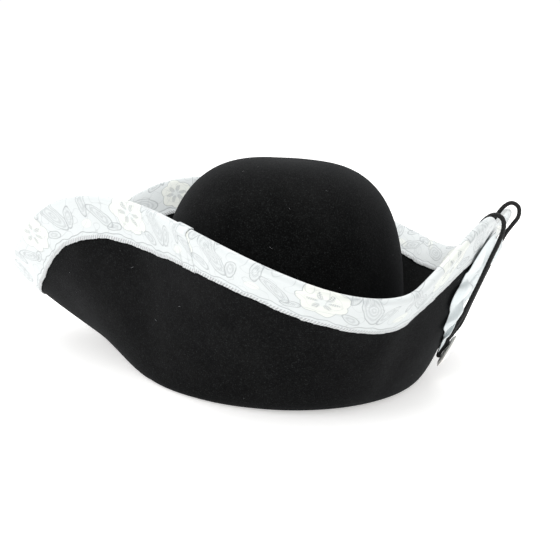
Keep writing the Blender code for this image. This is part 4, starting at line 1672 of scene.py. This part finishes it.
@dataclass
class Cockade:
    """Satin ribbon gathered into a flat round ruffle over a buckram disc."""

    shape: HatShape
    cord: LoopCord
    finish: SatinFinish = field(default_factory=SatinFinish)
    from_edge: float = 0.0455
    shift: float = -0.0110
    half_tall: float = 0.0400
    extra_wide: float = 0.0180
    eye: float = 0.0042
    panel_radius: float = 0.136
    thick: float = 0.00034
    flutes: int = 13
    columns_per_flute: int = 36
    rows: int = 40
    lobe: float = 0.0042
    low: float = 0.0022
    over_trim: float = 0.0034
    trim_reach: float = 0.0285
    over_backing: float = 0.0043
    backing_radius: float = 0.0125
    high: float = 0.0072
    crest: float = 0.0135
    by_button: float = 0.0040
    cord_clearance: float = 0.00035
    strip_length: float = 0.255
    press_reach: float = 0.0075
    press_core: float = 0.0028
    least_level: float = 0.0035
    knot_room: float = 0.0064
    knot_reach: Pair = (0.0042, 0.0085)

    def flute_wave(self, share: np.ndarray) -> tuple[np.ndarray, np.ndarray]:
        """Leaning folds of the gathered ribbon.

        Args:
            share: place round the ruffle, 0 to 1.

        Returns:
            Angles round the ruffle and fold heights from 0 to 1.
        """
        phase = self.flutes * share + 0.22 * np.sin(FULL_TURN * 2 * share + 0.8)
        phase = phase + 0.16 * np.sin(FULL_TURN * 3 * share + 2.3)
        lean = 0.17 + 0.06 * np.sin(FULL_TURN * 5 * share + 1.0)
        spread = phase + lean * np.cos(FULL_TURN * phase)
        rise = (0.5 - 0.5 * np.cos(FULL_TURN * phase)) ** 0.7
        uneven = 0.80 + 0.20 * np.sin(FULL_TURN * 4 * share + 0.5)
        return FULL_TURN * spread / self.flutes, rise * uneven

    def build(self, effects: SharedEffects) -> bpy.types.Object:
        """Build the ruffle, its gathering stitches and the dressed backing."""
        count = self.flutes * self.columns_per_flute
        share = np.arange(count) / count
        angle, rise = self.flute_wave(share)
        row = np.linspace(0, 1, self.rows)[:, None]
        outward = row**0.9
        even = FULL_TURN * share[None]
        turn = even + (angle[None] - even) * (0.55 + 0.45 * outward)
        wide = self.half_tall + self.extra_wide * np.abs(np.cos(turn)) ** 1.5
        wide = wide + 0.0012 * np.sin(3 * turn + 0.6) + self.lobe * (2 * rise[None] - 1.2)
        radius = self.eye + (wide - self.eye) * outward
        x = self.shift + radius * np.cos(turn)
        from_edge = np.maximum(self.from_edge - radius * np.sin(turn), 0.003)
        height = self.heights(x, from_edge, outward + 0 * x, turn, rise[None] + 0 * row)
        places = self.shape.brim((x / self.panel_radius).ravel(), from_edge.ravel())
        base = places.at.reshape(*x.shape, 3)
        out = places.out.reshape(*x.shape, 3)
        height = self.under_cord(base, out, height)
        at = base + out * height[..., None]
        normal = unit(np.cross(np.roll(at, -1, 1) - np.roll(at, 1, 1), np.gradient(at, axis=0)))
        half = normal * self.thick / 2
        mesh = slab_mesh("satin_ruffle", at + half, at - half, True)
        u = share[None] * self.strip_length + 0 * row
        v = outward * (self.half_tall - self.eye) + 0 * u
        add_uv(mesh, self.finish.uv, np.stack([u, u]), np.stack([v, v]))
        face_outwards(mesh)
        piece = new_piece("satin_ruffle", mesh, self.finish.material(effects), Body.HAT)
        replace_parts(piece, "cockade_ruffle")
        stitches = self.add_stitches(effects, base, out)
        self.dress_backing(effects)
        return piece

    def heights(
        self, x: np.ndarray, from_edge: np.ndarray, outward: np.ndarray, turn: np.ndarray, rise: np.ndarray
    ) -> np.ndarray:
        """Height of the satin over mid-felt before the cord presses on it.

        Args:
            x: places across the panel.
            from_edge: distances down from the brim's edge.
            outward: shares of the way from the eye to the rim.
            turn: directions from the eye.
            rise: fold heights from 0 to 1.

        Returns:
            Heights, one for each place.
        """
        from_disc = np.hypot(x, from_edge - self.from_edge)
        low = self.low + (self.over_trim - self.low) * (
            1 - smoothstep(self.trim_reach, self.trim_reach + 0.003, from_edge)
        )
        low = np.maximum(low, self.over_backing * (1 - smoothstep(self.backing_radius, 0.019, from_disc)))
        upward = bump_at((turn - math.radians(62) + math.pi) % FULL_TURN - math.pi, 0, math.radians(34))
        high = self.high + (self.crest - self.high) * upward
        below = np.abs((turn + math.pi / 2 + math.pi) % FULL_TURN - math.pi)
        near_button = 1 - smoothstep(math.radians(24), math.radians(46), below)
        near_button = near_button * smoothstep(0.3, 0.7, outward)
        high = high + (self.by_button - high) * near_button
        puff = smoothstep(0.05, 0.66, outward) * (1 - 0.62 * smoothstep(0.80, 1.0, outward))
        return low + np.maximum(high - low, 0) * rise * puff

    def under_cord(self, base: np.ndarray, out: np.ndarray, height: np.ndarray) -> np.ndarray:
        """Height held down where the cord crosses the ruffle, and held up over the knots."""
        line = self.cord.middle(0.001)
        tree = KDTree(len(line))
        for index, point in enumerate(line):
            tree.insert(point, index)
        tree.balance()
        places = base.reshape(-1, 3)
        directions = out.reshape(-1, 3)
        pressed = height.ravel().copy()
        reach = self.cord.radius + self.thick + self.cord_clearance
        for index, (place, direction) in enumerate(zip(places, directions)):
            probe = Vector(place + direction * pressed[index])
            found = tree.find(probe)[0]
            offset = np.array(found) - place
            level = float(np.dot(offset, direction))
            aside = float(np.linalg.norm(offset - direction * level))
            if aside > self.press_reach or level < self.least_level:
                continue
            share = 1 - float(smoothstep(self.press_core, self.press_reach, aside))
            limit = level - reach
            if limit < pressed[index]:
                pressed[index] += (limit - pressed[index]) * share
        for degrees, from_edge in (self.cord.near_hole, self.cord.far_hole):
            hole = self.shape.brim(np.radians([degrees]), np.array([from_edge])).at[0]
            near = 1 - smoothstep(*self.knot_reach, np.linalg.norm(places - hole, axis=1))
            pressed = np.maximum(pressed, self.knot_room * near)
        return pressed.reshape(height.shape)

    def add_stitches(self, effects: SharedEffects, base: np.ndarray, out: np.ndarray) -> bpy.types.Object:
        """Gathering stitches round the ruffle's eye."""
        step = self.columns_per_flute // 2
        ring = base[1, ::step]
        normal = out[1, ::step]
        middle = ring.mean(0)
        at = ring + normal * (self.over_backing + 0.0012)
        mesh = scatter("gathering_stitches", capsule_points(0.0020, 0.00018), at, middle - ring, normal)
        thread = ThreadFinish("white_thread", (0.78, 0.79, 0.80), (0.50, 0.51, 0.54))
        return new_piece("gathering_stitches", mesh, thread.material(effects), Body.HAT)

    def dress_backing(self, effects: SharedEffects) -> None:
        """Give the frame's own backing disc its buckram."""
        dress_node("cockade_backing", BuckramFinish().material(effects))


def dress_node(name: str, material: bpy.types.Material) -> bpy.types.Object:
    """Give a node of the frame a finish and leave its shape alone."""
    node = frame["nodes"][name]
    node.data.materials.clear()
    node.data.materials.append(material)
    return node


# ---------------------------------------------------------------- button


@dataclass
class HatButton:
    """Domed shank button hanging on a loop of thread."""

    shape: HatShape
    finish: MetalFinish = field(default_factory=MetalFinish)
    centre: Triple = (0.1184, 0.0, 0.0213)
    lean: float = math.radians(26.0)
    radius: float = 0.012
    shoulder: float = 0.0112
    rim_drop: float = 0.0008
    hem_drop: float = 0.0004
    wall: float = 0.0005
    back_radius: float = 0.0108
    back_thick: float = 0.0007
    touch_gap: float = 0.0003
    shank_ring: float = 0.0016
    shank_wire: float = 0.0005
    thread_wire: float = 0.0003
    thread_half_span: float = 0.0013
    thread_length: float = 0.0018
    dome: tuple[Pair, ...] = (
        (0.0004, 0.00030), (0.0005, 0.00010), (0.0004, -0.00022), (0.0012, 0.00055), (0.0018, 0.00055),
        (0.0022, 0.00045), (0.0022, 0.00025), (0.0016, 0.00008),
    )
    boss: tuple[Pair, ...] = (
        (0.0007, 0.0), (0.0003, -0.00012), (0.0060, 0.0), (0.0004, 0.00010), (0.0012, 0.0),
    )
    thread_steps: int = 24
    thread_sides: int = 8

    @property
    def place(self) -> Matrix:
        """Place of the button with Z out of its face."""
        out = Vector((math.cos(self.lean), 0, -math.sin(self.lean)))
        side = Vector((0, 0, 1)).cross(out).normalized()
        place = Matrix((side, out.cross(side), out)).transposed().to_4x4()
        place.translation = Vector(self.centre) + Vector((self.shape.head.x, self.shape.head.y, 0))
        return place

    @property
    def back_top(self) -> float:
        """Height of the back plate's top face on the button's own axis."""
        return -self.rim_drop - self.touch_gap / 2

    @property
    def ring_centre(self) -> float:
        """Height of the shank's ring on the button's own axis."""
        return self.back_top - self.back_thick - self.touch_gap - self.shank_ring - self.shank_wire

    def build(self, effects: SharedEffects) -> None:
        """Build the cap, the back plate, the shank and its thread."""
        metal = self.finish.material(effects)
        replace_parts(self.build_cap(metal), "button_cap")
        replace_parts(self.build_back(metal), "button_back")
        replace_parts(self.build_shank(metal), "button_shank")
        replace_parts(self.build_thread(effects), "button_thread")

    def build_cap(self, metal: bpy.types.Material) -> bpy.types.Object:
        """Domed cap with a bead round its edge and its rim turned under."""
        deselect()
        bpy.ops.mesh.primitive_circle_add(vertices=72, radius=self.shoulder, fill_type="NGON")
        cap = bpy.context.object
        bpy.ops.object.mode_set(mode="EDIT")
        bpy.ops.mesh.select_mode(type="FACE")
        bpy.ops.mesh.select_all(action="SELECT")
        for inset, rise in self.dome:
            bpy.ops.mesh.inset(thickness=inset, depth=rise)
        bpy.ops.mesh.poke()
        bpy.ops.mesh.select_mode(type="EDGE")
        bpy.ops.mesh.select_all(action="DESELECT")
        bpy.ops.mesh.select_non_manifold()
        flare = self.radius / self.shoulder
        half_drop = self.rim_drop * 0.5
        for drop, size in ((half_drop, flare), (half_drop, 0.998), (self.hem_drop, 0.97)):
            bpy.ops.mesh.extrude_region_move(TRANSFORM_OT_translate={"value": (0, 0, -drop)})
            bpy.ops.transform.resize(value=(size, size, 1), center_override=(0, 0, 0))
        bpy.ops.object.mode_set(mode="OBJECT")
        wall = cap.modifiers.new("wall", "SOLIDIFY")
        wall.thickness = self.wall
        wall.offset = -1
        soft = cap.modifiers.new("soft", "SUBSURF")
        soft.levels = 2
        soft.render_levels = 2
        apply_modifiers(cap)
        bpy.ops.object.shade_smooth()
        face_outwards(cap.data)
        settle(cap, self.place)
        return dress(cap, "domed_button_cap", metal, Body.BUTTON)

    def build_back(self, metal: bpy.types.Material) -> bpy.types.Object:
        """Back plate with a raised boss under the shank."""
        deselect()
        depth = self.back_thick
        bpy.ops.mesh.primitive_cylinder_add(
            vertices=64, radius=self.back_radius, depth=depth, location=(0, 0, self.back_top - depth / 2)
        )
        plate = bpy.context.object
        bpy.ops.object.mode_set(mode="EDIT")
        bpy.ops.mesh.select_mode(type="FACE")
        bpy.ops.mesh.select_all(action="DESELECT")
        bpy.ops.object.mode_set(mode="OBJECT")
        for face in plate.data.polygons:
            face.select = face.normal.z < -0.9
        bpy.ops.object.mode_set(mode="EDIT")
        for inset, rise in self.boss:
            bpy.ops.mesh.inset(thickness=inset, depth=rise)
        bpy.ops.object.mode_set(mode="OBJECT")
        edge = plate.modifiers.new("edge", "BEVEL")
        edge.width = 0.00012
        edge.segments = 2
        edge.limit_method = "ANGLE"
        apply_modifiers(plate)
        bpy.ops.object.shade_smooth_by_angle(angle=math.radians(40))
        settle(plate, self.place)
        face_outwards(plate.data)
        return dress(plate, "button_back_plate", metal, Body.BUTTON)

    def build_shank(self, metal: bpy.types.Material) -> bpy.types.Object:
        """Wire ring soldered to the back plate with a small flared foot."""
        deselect()
        bpy.ops.mesh.primitive_torus_add(
            major_radius=self.shank_ring,
            minor_radius=self.shank_wire,
            major_segments=48,
            minor_segments=14,
            rotation=(0, math.pi / 2, 0),
            location=(0, 0, self.ring_centre),
        )
        ring = bpy.context.object
        foot_top = self.back_top - self.back_thick - 0.00005
        foot_low = self.ring_centre + self.shank_ring
        deselect()
        bpy.ops.mesh.primitive_cone_add(
            vertices=28, radius1=0.0006, radius2=0.0013, depth=foot_top - foot_low,
            location=(0, 0, (foot_top + foot_low) / 2),
        )
        foot = bpy.context.object
        ring.select_set(True)
        bpy.context.view_layer.objects.active = foot
        union = foot.modifiers.new("solder", "BOOLEAN")
        union.operation = "UNION"
        union.object = ring
        deselect()
        foot.select_set(True)
        bpy.context.view_layer.objects.active = foot
        apply_modifiers(foot)
        bpy.data.objects.remove(ring)
        bpy.ops.object.shade_smooth_by_angle(angle=math.radians(50))
        settle(foot, self.place)
        face_outwards(foot.data)
        return dress(foot, "wire_shank", metal, Body.BUTTON)

    def build_thread(self, effects: SharedEffects) -> bpy.types.Object:
        """Two turns of thread through the shank's ring, with their anchoring stitches on the felt."""
        arch = self.ring_centre
        foot = arch - self.thread_length
        span = self.thread_half_span
        steps, sides = self.thread_steps, self.thread_sides
        points, faces = [], []
        for lane in (-1, 1):
            first = len(points)
            stations = []
            for i in range(steps + 1):
                t = i / steps
                x = -span * math.cos(math.pi * t)
                z = foot + (arch - foot + 0.0001) * math.sin(math.pi * t) ** 0.7
                y = lane * 0.00032 * math.cos(FULL_TURN * t)
                stations.append(Vector((x, y, z)))
            for i, station in enumerate(stations):
                ahead = stations[min(i + 1, steps)] - stations[max(i - 1, 0)]
                side = Vector((0, 1, 0))
                up = ahead.cross(side).normalized()
                for k in range(sides):
                    turn = FULL_TURN * k / sides
                    around = side * math.cos(turn) + up * math.sin(turn)
                    points.append(station + self.thread_wire * around)
            faces.extend(grid_faces(steps + 1, sides, True, first))
            faces.append(tuple(range(first, first + sides))[::-1])
            faces.append(tuple(range(first + steps * sides, first + (steps + 1) * sides)))
        mesh = mesh_from("shank_thread", np.array([tuple(p) for p in points]), faces)
        mesh.transform(self.place)
        face_outwards(mesh)
        finish = ThreadFinish("black_button_thread", (0.05, 0.05, 0.053), (0.008, 0.008, 0.009))
        thread = finish.material(effects)
        self.add_anchor(thread, foot)
        return new_piece("shank_thread", mesh, thread, Body.THREAD)

    def add_anchor(self, thread: bpy.types.Material, foot: float) -> None:
        """Crossed stitches where the thread goes into the felt."""
        place = np.array(self.place)
        offsets = np.array([
            (-0.0014, 0.0004), (-0.0014, -0.0004), (0.0014, 0.0004), (0.0014, -0.0004), (0, 0.0008),
        ])
        local = np.concatenate([offsets, np.full((len(offsets), 1), foot - 0.00035)], 1)
        at = local @ place[:3, :3].T + place[:3, 3]
        slant = 0.5 * offsets[:, :1] * 500 * place[:3, 0]
        lengthwise = np.tile(place[:3, 1], (len(offsets), 1)) + slant
        outward = np.tile(place[:3, 2], (len(offsets), 1))
        mesh = scatter("anchor_stitches", capsule_points(0.0022, 0.00028, 6), at, lengthwise, outward)
        new_piece("anchor_stitches", mesh, thread, Body.HAT)


# ---------------------------------------------------------------- studio


@dataclass
class Studio:
    """Pale table, soft overhead light and the camera."""

    shape: HatShape
    azimuth: float = math.radians(13.34)
    elevation: float = math.radians(10.90)
    distance: float = 0.640
    roll: float = math.radians(3.69)
    lens: float = 58.6
    sensor: float = 36.0
    aim: Triple = (-0.0016, 0.0, 0.0577)
    sky: float = 1.03
    table_size: float = 12.0
    table_drop: float = 0.0002

    def build(self) -> None:
        """Set up the camera, the table, the lights and the surrounding light."""
        self.add_camera()
        self.add_table()
        self.add_lights()
        self.light_surroundings()

    def add_camera(self) -> None:
        """Camera in front of the hat, a little to its cockade side."""
        data = bpy.data.cameras.new("camera")
        data.lens = self.lens
        data.sensor_width = self.sensor
        data.clip_start = 0.01
        data.clip_end = 50
        camera = bpy.data.objects.new("camera", data)
        bpy.context.scene.collection.objects.link(camera)
        back = Vector((
            math.sin(self.azimuth) * math.cos(self.elevation),
            -math.cos(self.azimuth) * math.cos(self.elevation),
            math.sin(self.elevation),
        ))
        target = Vector((self.shape.head.x, self.shape.head.y, 0)) + Vector(self.aim)
        turn = (-back).to_track_quat("-Z", "Y").to_matrix() @ Matrix.Rotation(self.roll, 3, "Z")
        camera.matrix_world = Matrix.Translation(target + back * self.distance) @ turn.to_4x4()
        bpy.context.scene.camera = camera

    def add_table(self) -> None:
        """Wide pale table top."""
        deselect()
        bpy.ops.mesh.primitive_plane_add(size=self.table_size, location=(0, 0, -self.table_drop))
        table = bpy.context.object
        table.name = "table"
        table.data.materials.append(TableFinish().material())

    def add_light(self, name: str, shift: Triple, size: float, power: float, tint: Triple) -> None:
        """Square soft light aimed at the hat's middle.

        Args:
            name: the light's name.
            shift: its place from the hat's middle.
            size: the length of its side.
            power: its power in watts.
            tint: its colour.
        """
        target = Vector((self.shape.head.x, self.shape.head.y, 0.06))
        place = target + Vector(shift)
        data = bpy.data.lights.new(name, "AREA")
        data.shape = "SQUARE"
        data.size = size
        data.energy = power
        data.color = tint
        lamp = bpy.data.objects.new(name, data)
        bpy.context.scene.collection.objects.link(lamp)
        lamp.location = place
        lamp.rotation_mode = "QUATERNION"
        lamp.rotation_quaternion = (target - place).to_track_quat("-Z", "Y")

    def add_lights(self) -> None:
        """Large light overhead, and a weaker one from the front."""
        self.add_light("overhead", (-0.1, 0.1, 1.3), 1.1, 15.0, (1.0, 0.99, 0.98))
        self.add_light("front_left", (-0.9, -1.1, 0.75), 0.8, 6.0, (0.98, 0.99, 1.0))

    def light_surroundings(self) -> None:
        """Even white light all round."""
        world = bpy.data.worlds.new("surroundings")
        world.use_nodes = True
        background = world.node_tree.nodes["Background"]
        background.inputs["Color"].default_value = (1, 1, 1, 1)
        background.inputs["Strength"].default_value = self.sky
        bpy.context.scene.world = world
        bpy.context.scene.view_settings.view_transform = "Standard"


# ---------------------------------------------------------------- making the hat


def main() -> None:
    """Build the studio and then the hat, piece by piece."""
    logging.basicConfig(level=logging.INFO, format="%(name)s: %(message)s")
    shape = HatShape()
    Studio(shape).build()
    effects = SharedEffects()
    cord = LoopCord(shape)
    cord.build(effects)
    FeltBody(shape).build(effects)
    BrimTrim(shape).build(effects)
    Sweatband(shape).build(effects)
    Cockade(shape, cord).build(effects)
    HatButton(shape).build(effects)


if __name__ == "__main__":
    main()
